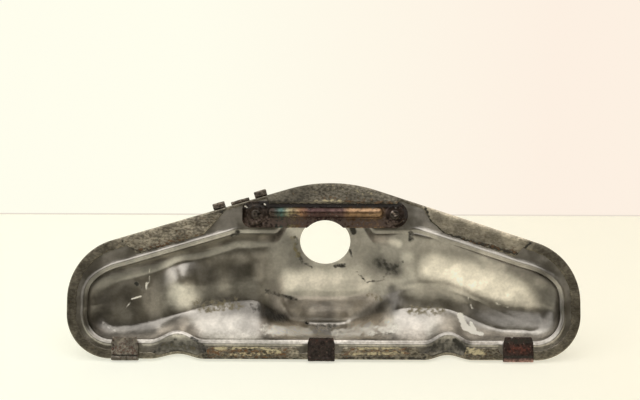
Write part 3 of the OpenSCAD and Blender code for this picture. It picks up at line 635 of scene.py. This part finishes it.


# Brightness of the inner sheet against new steel, partly from its heat stains and partly painted light:
# painted highlights and reflections on the bead, the low wall and round the hole, and painted shade under the
# upper ridge, in creases and in the arches. Strokes go from x, y to x, y in the photograph, with half width
# and share. Later strokes lie over earlier ones.
INNER_STAINS_AND_PAINTED_LIGHT = (
    (70, 300, 585, 300, 200, 0.8),
    (105, 300, 285, 270, 34, 0.5), (95, 285, 100, 318, 20, 0.38), (118, 285, 118, 322, 9, 0.62),
    (122, 274, 158, 268, 12, 0.85), (146, 288, 152, 304, 17, 1.12), (98, 283, 120, 276, 6, 0.4),
    (120, 276, 180, 260, 6, 0.42), (180, 259, 240, 247, 5, 0.48),
    (174, 268, 182, 284, 14, 1.25), (178, 290, 190, 304, 15, 1.3), (204, 264, 203, 286, 6, 0.62),
    (222, 268, 226, 296, 9, 0.9), (212, 261, 262, 257, 7, 1.0), (258, 258, 258, 276, 7, 1.0),
    (226, 247, 290, 246, 8, 0.56), (264, 236, 292, 252, 14, 0.48), (262, 238, 280, 236, 4, 1.3),
    (352, 240, 400, 238, 22, 0.52), (376, 238, 383, 239, 5, 1.0), (391, 241, 398, 244, 5, 1.1),
    (280, 240, 300, 262, 16, 0.42), (375, 265, 410, 262, 16, 0.42), (380, 262, 396, 272, 8, 0.3),
    (290, 282, 350, 283, 14, 1.4), (345, 286, 366, 284, 8, 1.15), (300, 308, 400, 306, 10, 0.92),
    (224, 303, 268, 313, 11, 0.34), (262, 310, 284, 317, 8, 0.32), (202, 310, 226, 308, 6, 0.6),
    (308, 322, 348, 323, 6, 0.5), (350, 323, 388, 301, 6, 0.5),
    (415, 245, 470, 250, 10, 0.62), (426, 227, 500, 246, 5, 1.1),
    (430, 268, 470, 274, 14, 1.7), (465, 279, 515, 293, 16, 1.9), (520, 300, 538, 310, 12, 1.35),
    (542, 280, 553, 310, 15, 0.26), (482, 258, 500, 264, 7, 0.9), (512, 268, 540, 284, 8, 0.5),
    (408, 258, 412, 284, 9, 0.85), (400, 296, 450, 300, 9, 0.56), (455, 302, 520, 308, 7, 0.85),
    (478, 318, 540, 319, 10, 0.4), (549, 306, 549, 325, 9, 0.5),
    (160, 330, 192, 330, 5, 1.25), (190, 326, 235, 325, 8, 1.0), (110, 326, 150, 329, 7, 0.42),
    (275, 331, 345, 332, 9, 2.6), (350, 327, 392, 325, 10, 2.1), (276, 336.5, 390, 336.5, 3, 1.7),
    (400, 324, 450, 324, 9, 1.05), (162, 347, 198, 347, 12, 0.3), (432, 347, 464, 347, 11, 0.28),
    (174, 335, 190, 335, 3, 1.1), (392, 288, 395, 308, 6, 0.38))
# Marks on it, in strokes of the same form: black soot and specks, rust, and white lime and scratches.
# The black strokes also paint shade in the arches, in creases and wrinkles, in a hollow left of the middle
# and in a small hole. The last number is how much lies there. The steel is grittiest along the bottom flange.
INNER_GRIT = ((60, 345, 590, 345, 16, 1.0),)
# Soot and residue, and painted shade in the arches, creases, wrinkles, a hollow and a small hole.
INNER_SOOT_AND_SHADE = (
    (295, 236, 297, 250, 4, 0.45), (299, 256, 303, 262, 3, 0.55), (306, 263, 312, 267, 2.5, 0.55),
    (335, 266, 345, 265, 3, 0.65), (352, 227, 354, 232, 4, 0.9), (350, 250, 352, 258, 2, 0.55),
    (250, 306, 284, 318, 8, 0.36), (268, 313, 280, 318, 5, 0.6), (318, 327, 334, 327, 6, 0.5),
    (306, 323, 307, 324, 1.8, 0.9),
    (378, 262, 394, 270, 8, 0.5), (384, 276, 402, 262, 3.5, 0.48), (136, 283.5, 137, 284.5, 2.4, 1.2),
    (140, 286, 142, 289, 1.2, 0.6), (356, 271, 366, 282, 1.5, 0.52), (366, 282, 386, 280, 1.5, 0.52),
    (233, 236, 238, 232, 4, 0.6), (411, 233, 411, 240, 4, 0.6), (266, 291, 298, 300, 3.2, 0.46),
    (150, 355, 166, 345, 2.6, 0.62), (166, 345, 176, 339, 2.2, 0.52), (192, 338, 203, 347, 2.8, 0.62),
    (203, 347, 209, 356, 3.2, 0.75), (165, 347, 194, 347, 10, 0.42),
    (434, 347, 462, 347, 10, 0.42), (425, 353, 440, 342, 2.6, 0.52),
    (440, 341, 455, 340, 2.0, 0.42), (455, 340, 468, 353, 3.2, 0.75))
INNER_RUST = (
    (198, 305, 238, 304, 10, 0.43), (205, 309, 226, 307, 6, 0.45),
    (370, 294, 380, 300, 6, 0.42), (412, 310, 442, 310, 9, 0.43), (290, 332, 306, 336, 5, 0.4),
    (165, 345, 195, 350, 6, 0.3), (292, 238, 298, 256, 5, 0.42))
INNER_CHALK = (
    (147, 283, 146, 289, 1.5, 0.8), (150, 268, 149, 282, 1.2, 0.4), (132, 299, 142, 296, 1.3, 0.75),
    (126, 308, 132, 300, 1.2, 0.4), (104, 324, 114, 330, 4, 0.28),
    (460, 315, 465, 328, 3.8, 1.0), (465, 327, 473, 331, 3.8, 1.0), (471, 323, 475, 330, 2.2, 0.9),
    (473, 332, 482, 334, 2.6, 0.9), (468, 298, 472, 308, 2.0, 0.45), (496, 303, 508, 307, 1.8, 0.4),
    (266, 330, 308, 332, 9, 0.52), (336, 333, 392, 329, 9, 0.52))
seen_x, seen_y = in_photo(points_of(inner_sheet))
for key, start, strokes in (("tone", 0.8, INNER_STAINS_AND_PAINTED_LIGHT), ("grit", 0.35, INNER_GRIT), ("soot_and_shade", 0.0, INNER_SOOT_AND_SHADE),
                            ("rust", 0.0, INNER_RUST), ("chalk", 0.0, INNER_CHALK)):
    finish_map(inner_sheet, key, brushed_over(seen_x, seen_y, start, strokes))
inner_sheet.data.materials.clear()
inner_sheet.data.materials.append(worn_steel(
    "inner_steel", colour=(0.5, 0.465, 0.415), rough=0.33, uneven=((60, 0.2), (420, 0.16)),
    pits=((110, 0.00012), (700, 0.00002)), rust=(0.21, 0.175, 0.095), grain=300.0, frayed=0.4))
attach(inner_sheet, "root")
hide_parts("inner_skin")


# Outer sheet: the same steel, face to face with the inner sheet. Its edge is folded forward over
# the inner sheet in a hem, with wide flaps on the flanks, over the crown and along the bottom.
HEM_END, HEM_BOTTOM, HEM_MIN, FLAP_SHARE = 7.5, 5, 2.2, 0.9
FLAP_LEFT = ((-174, 0), (-156, 1), (-101, 1), (-80, 0))
FLAP_RIGHT = ((82, 0), (90, 0.6), (102, 1), (161, 1), (174, 0))
FLAP_CROWN, CROWN_EASE = (-47, 63), 1.6
FLAPS_BOTTOM, BOTTOM_EASE = ((-97, -21), (16, 80), (119, 147)), 3.0
STRAP_T, STRAP_LAP, STRAP_PLAY = 1.5, 1.6, 0.1
RAGGED_FROM, RAGGED_NARROW = 3, 0.2
HEM_LINES, HEM_ROUND, ON_HEM_MM = 9, 0.35, 1.0


def between(x, span, ease):
    """1 inside the span and 0 outside it, with eased ends."""
    low, high = span
    return soft(low - ease / 2, low + ease / 2, x) * (1 - soft(high - ease / 2, high + ease / 2, x))


crown_flap = (top_z(EX) - STRAP_Z - STRAP_H / 2 + STRAP_LAP) * np.cos(top_slope(EX))
side_flap = np.interp(EX, *zip(*(FLAP_LEFT + FLAP_RIGHT)))
low_flap = sum(between(EX, span, BOTTOM_EASE) for span in FLAPS_BOTTOM)
on_crown = np.where(ON_TOP, between(EX, FLAP_CROWN, CROWN_EASE), 0)
wide = FLAP_SHARE * np.minimum(FLANGE_W, FLANGE_TOP)
upper = np.where(ON_TOP, HEM_MIN, HEM_END)
upper = np.maximum(upper, wide * np.where(EZ > SPINE_Z, side_flap, 0))
upper = mix(upper, crown_flap, on_crown)
lower = mix(mix(HEM_BOTTOM, HEM_MIN, soft(0, 0.2, arch(EX))), FLAP_SHARE * FLANGE_W, low_flap)
HEM_W = np.where(ON_LOW, lower, upper)
# The flap's edge is cut a little unevenly.
ragged = np.sin(EX * 0.9 + EZ * 0.7) * 0.25 + np.sin(EX * 2.3 - EZ * 1.9 + 1) * 0.18
HEM_W = HEM_W + np.where(HEM_W > RAGGED_FROM, ragged, RAGGED_NARROW * ragged)
LIFT = on_crown * (STRAP_T + STRAP_PLAY)


def hem_y(s):
    """Depth of the flap's lower side; over the strap the flap lies on the strap's upper edge."""
    strap_s = np.maximum(HEM_W - STRAP_LAP / np.cos(top_slope(EX)), SKIN * 2)
    return arch_dip(s) - LIFT * np.clip((s - SKIN) / (strap_s - SKIN), 0, 1.0)


# The hem runs in along its lower side, round the flap's end, back along its upper side, round the fold.
hem_lines = [ring(0 * EX + SKIN, lambda x, z, s: arch_dip(s) + SKIN / 2)]
hem_steps = np.linspace(0, 1, HEM_LINES)
for t in hem_steps:
    hem_lines.append(ring(mix(SKIN + HEM_GAP, HEM_W, t), lambda x, z, s: hem_y(s)))
for turn in (45, 90, 135):
    a = math.radians(turn)
    hem_lines.append(ring(HEM_W + HEM_ROUND * math.sin(a),
                          lambda x, z, s: hem_y(HEM_W) - SKIN / 2 + SKIN / 2 * math.cos(a)))
for t in hem_steps[::-1]:
    hem_lines.append(ring(mix(SKIN + HEM_GAP, HEM_W, t), lambda x, z, s: hem_y(s) - SKIN))
for turn in (30, 60, 90, 120, 150):
    a = math.radians(turn)
    hem_lines.append(ring((SKIN + HEM_GAP) * (1 - math.sin(a)) + 0 * EX,
                          lambda x, z, s: arch_dip(s) + SKIN / 2 - 1.5 * SKIN * math.cos(a)))
outer_lines = np.concatenate([layer(SKIN, COARSE[::-1]), np.array(hem_lines), layer(2 * SKIN)])
outer_sheet = closed_sheet("outer_sheet", outer_lines)
cut_away(outer_sheet, bore_tool(HOLE_R))
smooth(outer_sheet, SHEET_ANGLE)
outer_sheet.data.materials.clear()
# Strokes as on the inner sheet. The ends are evenly dark, the left flap and the right half of the
# crown flap are rough and spotted, and yellow and rusty crusts lie along the bottom flaps. The left part of
# the crown flap and the line under it are darkened by a painted shadow, a bright line along the fold of the
# upper right flap is a painted highlight, and the black lines along the flaps' edges are partly dirt and
# partly painted shade.
OUTER_STAINS_AND_PAINTED_LIGHT = (
    (118, 244, 84, 272, 16, 0.36), (74, 290, 72, 325, 16, 0.29), (80, 340, 112, 350, 14, 0.36),
    (128, 243, 216, 220, 14, 0.72), (268, 205, 312, 190, 14, 0.22), (316, 190, 398, 202, 14, 0.3),
    (430, 215, 520, 245, 13, 0.8), (425, 207, 525, 241, 3.0, 1.35), (545, 250, 572, 280, 14, 0.4),
    (578, 300, 566, 345, 14, 0.36), (536, 355, 556, 350, 8, 0.48), (150, 358, 500, 358, 10, 0.5),
    (284, 350, 306, 350, 7, 0.8), (338, 350, 354, 350, 7, 0.8))
OUTER_GRIT = (
    (128, 243, 220, 218, 14, 1.0), (316, 190, 398, 200, 14, 1.0), (430, 212, 520, 245, 12, 0.35),
    (205, 352, 300, 352, 9, 1.1), (340, 352, 425, 352, 9, 1.1), (465, 352, 500, 352, 9, 1.1))
OUTER_SOOT_AND_SHADE = (
    (128, 243, 220, 218, 14, 0.14), (122, 240, 126, 246, 1.6, 0.7), (126, 246, 140, 252, 1.8, 0.6),
    (140, 250.5, 205, 237, 3.0, 0.62), (205, 238, 208, 235, 2.4, 0.7), (208, 235, 232, 222, 3.0, 0.75),
    (425, 207, 431, 222, 1.6, 0.8), (431, 222, 446, 235, 1.8, 0.8), (446, 235, 518, 254, 2.4, 0.95),
    (518, 255, 530, 243, 1.6, 0.7), (318, 186, 398, 200, 12, 0.14), (268, 203, 300, 200, 3, 0.45),
    (205, 358, 300, 359, 2.5, 0.55), (340, 358, 425, 358, 2.5, 0.55), (230, 218, 222, 212, 4, 0.6),
    (110, 240, 86, 256, 4, 0.25), (205, 350, 300, 350, 7, 0.05), (340, 350, 425, 350, 7, 0.05))
OUTER_RUST = (
    (140, 249, 205, 235, 3.5, 0.52), (210, 352, 285, 353, 7, 0.48), (345, 352, 405, 352, 6, 0.44),
    (466, 352, 484, 354, 7, 0.32), (497, 346, 505, 354, 5, 0.38), (446, 237, 520, 253, 3, 0.3),
    (318, 198, 398, 204, 4, 0.3), (130, 243, 216, 222, 12, 0.14))
OUTER_CHALK = (
    (216, 349, 250, 346, 3.0, 0.55), (250, 347, 280, 351, 3.0, 0.6), (224, 354, 276, 354, 2.5, 0.46),
    (360, 348, 400, 347, 3.0, 0.6), (350, 354, 402, 353, 2.5, 0.48), (468, 350, 482, 353, 5, 0.58),
    (499, 345, 504, 352, 3, 0.55), (316, 186, 380, 194, 7, 0.16), (313, 200, 343, 201, 1.2, 0.6))
at = points_of(outer_sheet)
seen_x, seen_y = in_photo(at)
# The marks lie on the folded hem only; the back is evenly stained, darker towards the deep end.
BACK_TONES, BACK_PALE_Y = (0.62, 0.42), 10
BACK_GRIT, BACK_SOOT, BACK_RUST, BACK_CHALK = 0.4, 0.04, 0.12, 0.04
hem_tree = KDTree(len(hem_lines) * len(EX))
for i, point in enumerate(np.array(hem_lines).reshape(-1, 3)):
    hem_tree.insert(point, i)
hem_tree.balance()
flat = (at - np.array(LEAN_BACK)[:3, 3]) @ np.array(LEAN_BACK)[:3, :3] * 1000
on_hem = np.array([hem_tree.find(point)[2] < ON_HEM_MM for point in flat])
back_tone = mix(*BACK_TONES, soft(BACK_PALE_Y, TROUGH_MID_Y, flat[:, 1]))
for key, start, strokes, behind in (
        ("tone", 0.5, OUTER_STAINS_AND_PAINTED_LIGHT, back_tone), ("grit", 0.6, OUTER_GRIT, BACK_GRIT),
        ("soot_and_shade", 0.12, OUTER_SOOT_AND_SHADE, BACK_SOOT), ("rust", 0.05, OUTER_RUST, BACK_RUST),
        ("chalk", 0.0, OUTER_CHALK, BACK_CHALK)):
    on_front = brushed_over(seen_x, seen_y, start, strokes)
    finish_map(outer_sheet, key, np.where(on_hem, on_front, behind))
outer_sheet.data.materials.append(worn_steel(
    "outer_steel", colour=(0.5, 0.445, 0.345), rough=0.46, uneven=((90, 0.2), (620, 0.42)),
    pits=((250, 0.00016), (800, 0.00006)), grain=560.0, stretch=0.6,
    rust=(0.17, 0.085, 0.035), chalk=(0.62, 0.54, 0.34)))
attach(outer_sheet, "root")
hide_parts("outer_skin")


# Strap: a bar of 1.5 mm steel with round ends and a half-round channel pressed out of it. It lies on
# the flange over the sensor hole, two rivets hold its ends, and the crown flap holds its top edge.
CHANNEL_L, CHANNEL_R, CHANNEL_UP, CHANNEL_ROUND, CHANNEL_CUT_Y = 98, 5, 1.8, 4.5, -0.6
RIVET_SEAT_R, RIVET_SEAT_UP, RIVET_SEAT_ROUND = 8.0, 0.7, 0.6
NOTCH_GAP, SUNK = 1.6, 0.2
LEFT_ROUND, RIGHT_ROUND, SMALL_PART_ANGLE = 7.0, 11.1, 60


def new_block(low, high):
    """A cube between two corners, in millimetres on the flange."""
    bpy.ops.object.select_all(action="DESELECT")
    bpy.ops.mesh.primitive_cube_add(size=1)
    block = bpy.context.object
    middle, span = [(a + b) / 2 for a, b in zip(low, high)], [b - a for a, b in zip(low, high)]
    block.data.transform(Matrix.Translation(middle) @ Matrix.Diagonal((*span, 1)))
    return block


def new_bar(ends, radius, sides=40):
    """A round bar from one point to the other."""
    start, end = Vector(ends[0]), Vector(ends[1])
    bpy.ops.object.select_all(action="DESELECT")
    bpy.ops.mesh.primitive_cylinder_add(vertices=sides, radius=radius, depth=(end - start).length)
    bar = bpy.context.object
    turn = (end - start).to_track_quat("Z", "Y").to_matrix().to_4x4()
    bar.data.transform(Matrix.Translation((start + end) / 2) @ turn)
    return bar


def rounded(piece, offset, segments, chosen):
    """Rounds the edges that chosen(a, b) picks by their two ends."""
    for edge in piece.data.edges:
        a, b = (piece.data.vertices[i].co for i in edge.vertices)
        edge.select = bool(chosen(a, b))
    for corner in piece.data.vertices:
        corner.select = False
    for face in piece.data.polygons:
        face.select = False
    bpy.ops.object.mode_set(mode="EDIT")
    bpy.ops.mesh.select_mode(type="EDGE")
    bpy.ops.mesh.bevel(offset=offset, segments=segments, affect="EDGES")
    bpy.ops.object.mode_set(mode="OBJECT")


def fused(name, parts, grid, dents, dent_size, rounds=2):
    """Makes one skin round all the parts, softens its edges and dents it a little."""
    bpy.ops.object.select_all(action="DESELECT")
    for part in parts:
        part.select_set(True)
    bpy.context.view_layer.objects.active = parts[0]
    bpy.ops.object.join()
    piece = bpy.context.object
    piece.name = piece.data.name = name
    skin = piece.modifiers.new("skin", "REMESH")
    skin.mode, skin.voxel_size = "VOXEL", grid
    bpy.ops.object.modifier_apply(modifier=skin.name)
    soften = piece.modifiers.new("soften", "SMOOTH")
    soften.factor, soften.iterations = 0.5, rounds
    bpy.ops.object.modifier_apply(modifier=soften.name)
    clouds = bpy.data.textures.new(name + "_dents", "CLOUDS")
    clouds.noise_scale = dent_size
    beaten = piece.modifiers.new("beaten", "DISPLACE")
    beaten.texture, beaten.strength, beaten.mid_level = clouds, dents, 0.5
    bpy.ops.object.modifier_apply(modifier=beaten.name)
    return piece


def onto_shield(piece):
    """From millimetres on the flat flange to its place on the leaning shield."""
    piece.data.transform(LEAN_BACK @ Matrix.Scale(0.001, 4))


def finished(piece, node_name, marks, steel):
    """Marks hold, for each of the steel's maps, a start value and the strokes over it; a map that
    they leave out is 0 all over."""
    seen_x, seen_y = in_photo(points_of(piece))
    for key in ("tone", "grit", "soot_and_shade", "rust", "chalk"):
        start, strokes = marks.get(key, (0.0, ()))
        finish_map(piece, key, brushed_over(seen_x, seen_y, start, strokes))
    piece.data.materials.clear()
    piece.data.materials.append(steel)
    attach(piece, "root")
    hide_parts(node_name)


strap_low, strap_high = HOLE_X - STRAP_END_X, HOLE_X + STRAP_END_X
plate = new_block((strap_low, -STRAP_T, STRAP_Z - STRAP_H / 2), (strap_high, 0, STRAP_Z + STRAP_H / 2))
rounded(plate, LEFT_ROUND, segments=10, chosen=lambda a, b: abs(a.y - b.y) > 1 and a.x < 0)
rounded(plate, RIGHT_ROUND, segments=12, chosen=lambda a, b: abs(a.y - b.y) > 1 and a.x > strap_high - 1)
channel_z = STRAP_Z + CHANNEL_UP
channel = new_bar(((HOLE_X - CHANNEL_L / 2, 0, channel_z), (HOLE_X + CHANNEL_L / 2, 0, channel_z)),
                  CHANNEL_R)
rounded(channel, CHANNEL_ROUND, segments=6, chosen=lambda a, b: abs(a.x - b.x) < 0.1)
bpy.ops.object.mode_set(mode="EDIT")
bpy.ops.mesh.select_all(action="SELECT")
bpy.ops.mesh.bisect(plane_co=(0, CHANNEL_CUT_Y, 0), plane_no=(0, 1, 0), use_fill=True, clear_outer=True)
bpy.ops.object.mode_set(mode="OBJECT")
seats = []
for side in (-1, 1):
    rivet_x = HOLE_X + side * RIVET_PITCH / 2
    seat = new_bar(((rivet_x, -SUNK, STRAP_Z), (rivet_x, -STRAP_T - RIVET_SEAT_UP, STRAP_Z)), RIVET_SEAT_R)
    rounded(seat, RIVET_SEAT_ROUND, segments=3, chosen=lambda a, b: max(a.y, b.y) < -1)
    seats.append(seat)
strap = fused("strap", [plate, channel] + seats, grid=0.4, dents=0.2, dent_size=12.0, rounds=4)
onto_shield(strap)
cut_away(strap, bore_tool(HOLE_R + NOTCH_GAP))
smooth(strap, SMALL_PART_ANGLE)
# Heat colours along it, from x in millimetres: almost black ends, a blue-green band on the left, then
# straw and brown, a dark middle, and a long straw-brown stretch on the right.
STRAP_TINTS = ((-70, (0.085, 0.065, 0.05)), (-42, (0.09, 0.07, 0.06)), (-35, (0.10, 0.17, 0.15)),
               (-27, (0.42, 0.34, 0.2)), (-19, (0.3, 0.17, 0.1)), (-12, (0.12, 0.07, 0.065)),
               (16, (0.13, 0.08, 0.07)), (22, (0.34, 0.21, 0.12)), (48, (0.34, 0.22, 0.13)),
               (53, (0.09, 0.065, 0.055)), (72, (0.08, 0.06, 0.05)))
# Painted shadow over the channel, a painted highlight along its top, and painted shade at the right end.
STRAP_MARKS_AND_PAINTED_LIGHT = {
    "tone": (0.8, ((262, 205, 398, 205, 5, 0.16), (244, 218, 262, 218, 10, 0.8),
                   (262, 221, 392, 222, 8, 0.45), (268, 212, 340, 212, 2.4, 1.15),
                   (340, 211.5, 386, 211.5, 3.2, 1.0))),
    "grit": (0.6, ()),
    "soot_and_shade": (0.18, ((262, 204, 398, 204, 4, 0.85), (264, 221, 392, 223, 5, 0.3),
                    (244, 206, 262, 206, 4, 0.5), (404, 208, 408, 222, 3.5, 0.6),
                    (296, 212, 310, 212, 3, 0.3))),
    "rust": (0.08, ((292, 216, 300, 218, 4, 0.5), (264, 222, 392, 224, 8, 0.62),
                    (246, 222, 262, 222, 8, 0.5))),
    "chalk": (0.0, ((264, 204, 265, 205, 1.3, 0.7), (245, 206, 247, 207, 1.3, 0.6)))}
burnt_steel = worn_steel("burnt_steel", colour=(0.1, 0.08, 0.06), rough=0.34,
                         uneven=((90, 0.25), (380, 0.35)), pits=((200, 0.00012), (800, 0.00003)),
                         soot_and_shade=(0.018, 0.013, 0.011), rust=(0.085, 0.055, 0.042), heat_tints=STRAP_TINTS)
finished(strap, "stiffener_strap", STRAP_MARKS_AND_PAINTED_LIGHT, burnt_steel)


# Rivets: dark steel, with 4.2 mm shanks and low round heads that have a dimple in the middle. They go
# through the strap's ends and both sheets, and are set over at the back of the flange.
RIVET_R, HEAD_R, HEAD_H, HEAD_ROUND, HEAD_SUNK = 2.1, 4.2, 1.8, 1.5, 0.1
DIMPLE_R, DIMPLE_D = 1.3, 0.5
TAIL_R, TAIL_H, TAIL_ROUND, TAIL_SUNK = HEAD_R * 0.85, HEAD_H * 0.6, 0.8, 0.2
# The small bright spot on the right rivet's head is a painted glint.
RIVET_MARKS_AND_GLINT = {"tone": (0.40, ((392, 212, 396, 216, 1.5, 1.8),)), "grit": (0.8, ()), "soot_and_shade": (0.36, ()),
               "rust": (0.12, ())}
for side, name in ((-1, "left"), (1, "right")):
    x = HOLE_X + side * RIVET_PITCH / 2
    top_y = -STRAP_T - HEAD_H
    head = new_bar(((x, top_y, STRAP_Z), (x, -STRAP_T + HEAD_SUNK, STRAP_Z)), HEAD_R)
    rounded(head, HEAD_ROUND, segments=5, chosen=lambda a, b: max(a.y, b.y) < -STRAP_T - 1)
    dimple = new_bar(((x, top_y - DIMPLE_D, STRAP_Z), (x, top_y + DIMPLE_D, STRAP_Z)), DIMPLE_R)
    shank = new_bar(((x, -STRAP_T, STRAP_Z), (x, 2 * SKIN + TAIL_SUNK, STRAP_Z)), RIVET_R)
    tail = new_bar(((x, 2 * SKIN, STRAP_Z), (x, 2 * SKIN + TAIL_H, STRAP_Z)), TAIL_R)
    rounded(tail, TAIL_ROUND, segments=4, chosen=lambda a, b: min(a.y, b.y) > 2 * SKIN + 0.5)
    cut_away(head, dimple)
    rivet = fused("rivet_" + name, [head, shank, tail], grid=0.25, dents=0.15, dent_size=2.0, rounds=1)
    onto_shield(rivet)
    smooth(rivet, SMALL_PART_ANGLE)
    rivet_steel = worn_steel("rivet_steel_" + name, colour=(0.20, 0.165, 0.14), rough=0.28,
                             uneven=((150, 0.2), (500, 0.4)), pits=((400, 0.0001), (900, 0.00004)))
    finished(rivet, "strap_rivet_" + name, RIVET_MARKS_AND_GLINT, rivet_steel)


# Edge clips: strips of spring steel bent over the bottom edge, with a rolled foot under the front leg.
# The left one is scaled and grey-brown, the centre one almost black, and the right one rusty.
CLIP_T, CLIP_PLAY, CLIP_BACK_H, CLIP_TAPER = 1.4, 0.1, 9.5, 0.88
LEG_LOW_Z, BACK_LOW_Z, SOLE_LOW_Z, TABLE_GAP = 1.0, 0.2, 0.05, 0.02
ROLL_R, ROLL_UP, ROLL_OUT, SOLE_IN = 2.1, 2.2, 0.5, 1
CLIP_FACE_Y, CLIP_BACK_Y = -SKIN - CLIP_PLAY, 2 * SKIN + CLIP_PLAY
# For each clip: its name, colour, roughness and marks. The marks paint a dark line of shade in the crease
# above the foot of the left and right clips, and a highlight on the right clip's foot.
CLIP_LOOKS_AND_PAINTED_LIGHT = (
    ("left", (0.26, 0.228, 0.188), 0.55, {
        "tone": (0.95, ((112, 359, 140, 359, 3, 0.6), (126, 357, 127, 361, 1.2, 0.3))), "grit": (0.7, ()),
        "soot_and_shade": (0.12, ((112, 355, 140, 355.5, 1.2, 0.9), (113, 340, 113, 352, 1.6, 0.5))),
        "rust": (0.18, ((116, 350, 138, 350, 5, 0.3),))}),
    ("centre", (0.06, 0.042, 0.036), 0.55, {
        "tone": (0.8, ()), "grit": (0.8, ()), "soot_and_shade": (0.4, ()),
        "rust": (0.15, ((310, 340, 334, 340, 2, 0.25),))}),
    ("right", (0.075, 0.045, 0.037), 0.5, {
        "tone": (0.7, ((505, 361, 532, 361, 2.5, 4.5),)), "grit": (0.8, ()),
        "soot_and_shade": (0.28, ((503, 341, 533, 341, 4, 0.55), (504, 357, 533, 357, 1.3, 0.8))),
        "rust": (0.12, ((512, 349, 526, 350, 6, 0.5),)), "chalk": (0.0, ((508, 336, 512, 337, 1.5, 0.5),))}))
for (clip_x, clip_w, clip_h), (name, colour, rough, marks) in zip(CLIPS, CLIP_LOOKS_AND_PAINTED_LIGHT):
    half = clip_w / 2
    clip_left, clip_right, front_y = clip_x - half, clip_x + half, CLIP_FACE_Y - CLIP_T
    leg = new_block((clip_left, front_y, LEG_LOW_Z), (clip_right, CLIP_FACE_Y, clip_h))
    bpy.ops.object.mode_set(mode="EDIT")
    bpy.ops.mesh.select_all(action="SELECT")
    bpy.ops.mesh.subdivide(number_cuts=3)
    bpy.ops.object.mode_set(mode="OBJECT")
    for corner in leg.data.vertices:
        if corner.co.z > clip_h - 0.1:
            corner.co.x = clip_x + (corner.co.x - clip_x) * CLIP_TAPER
    roll_y = front_y + ROLL_UP - ROLL_OUT
    roll = new_bar(((clip_left, roll_y, ROLL_UP), (clip_right, roll_y, ROLL_UP)), ROLL_R, sides=24)
    sole = new_block((clip_left, front_y + SOLE_IN, SOLE_LOW_Z), (clip_right, CLIP_BACK_Y + CLIP_T, CLIP_T))
    back = new_block((clip_left, CLIP_BACK_Y, BACK_LOW_Z), (clip_right, CLIP_BACK_Y + CLIP_T, CLIP_BACK_H))
    clip = fused("clip_" + name, [leg, roll, sole, back], grid=0.42, dents=0.55, dent_size=3.0)
    for corner in clip.data.vertices:
        corner.co.z = max(corner.co.z, TABLE_GAP)
    onto_shield(clip)
    smooth(clip, SMALL_PART_ANGLE)
    clip_steel = worn_steel("clip_steel_" + name, colour, rough, uneven=((200, 0.25), (380, 0.45)),
                            pits=((300, 0.0003), (900, 0.0001)), rust=(0.11, 0.032, 0.02), gleam=0.75)
    finished(clip, "edge_clip_" + name, marks, clip_steel)


# Edge bracket: a strip of 1.5 mm steel, welded behind the flange of the left flank. Two lugs and a low
# tab of it are bent forward over the sheet's edge.
BRACKET_T, BRACKET_X, BRACKET_D = 1.5, -70, 8.5
LUG_PITCH, LUG_W, LUG_H, LUG_REACH, LUG_ROUND = 36.5, 10.5, 5.5, 4, 0.9
LUG_LOW_Z = LUG_H * 0.1
TAB_HALF, TAB_H, TAB_REACH, TAB_LOW_Z = LUG_W * 0.75, LUG_H * 0.5, 1.5, 0.2
strip_y, edge_gap = 2 * SKIN, SKIN + HEM_GAP
back_y, root_z = strip_y + BRACKET_T, -edge_gap - 1
strip_half = (LUG_PITCH + LUG_W) / 2
blocks = [new_block((-strip_half, strip_y, -BRACKET_D), (strip_half, back_y, -edge_gap)),
          new_block((-TAB_HALF, strip_y - TAB_REACH, TAB_LOW_Z), (TAB_HALF, back_y, TAB_H)),
          new_block((-TAB_HALF, strip_y, root_z), (TAB_HALF, back_y, TAB_H))]
for side in (-1, 1):
    lug_x = side * LUG_PITCH / 2
    blocks.append(new_block((lug_x - LUG_W / 2, strip_y, root_z), (lug_x + LUG_W / 2, back_y, LUG_H)))
    lug = new_block((lug_x - LUG_W / 2, back_y - LUG_REACH, LUG_LOW_Z), (lug_x + LUG_W / 2, back_y, LUG_H))
    rounded(lug, LUG_ROUND, segments=4, chosen=lambda a, b: a.z > LUG_H - 0.1 and b.z > LUG_H - 0.1)
    blocks.append(lug)
bracket = fused("bracket", blocks, grid=0.4, dents=0.5, dent_size=3.5)
bracket.data.transform(Matrix.Translation((BRACKET_X, 0, float(top_z(np.float64(BRACKET_X)))))
                       @ Matrix.Rotation(-SLOPE_LEFT, 4, "Y"))
onto_shield(bracket)
smooth(bracket, SMALL_PART_ANGLE)
# Painted highlights on the lugs' tops and painted shade under them.
BRACKET_MARKS_AND_PAINTED_LIGHT = {
    "tone": (0.75, ((214, 204, 226, 203, 2, 1.3), (256, 191, 267, 190, 2, 1.3))), "grit": (1.0, ()),
    "soot_and_shade": (0.3, ((213, 210, 228, 208, 2, 0.6), (256, 198, 268, 196, 2, 0.6))), "rust": (0.12, ())}
bracket_steel = worn_steel("bracket_steel", colour=(0.20, 0.165, 0.135), rough=0.5,
                           uneven=((150, 0.3), (400, 0.5)), pits=((300, 0.0002), (900, 0.00008)), gleam=0.8)
finished(bracket, "edge_bracket", BRACKET_MARKS_AND_PAINTED_LIGHT, bracket_steel)
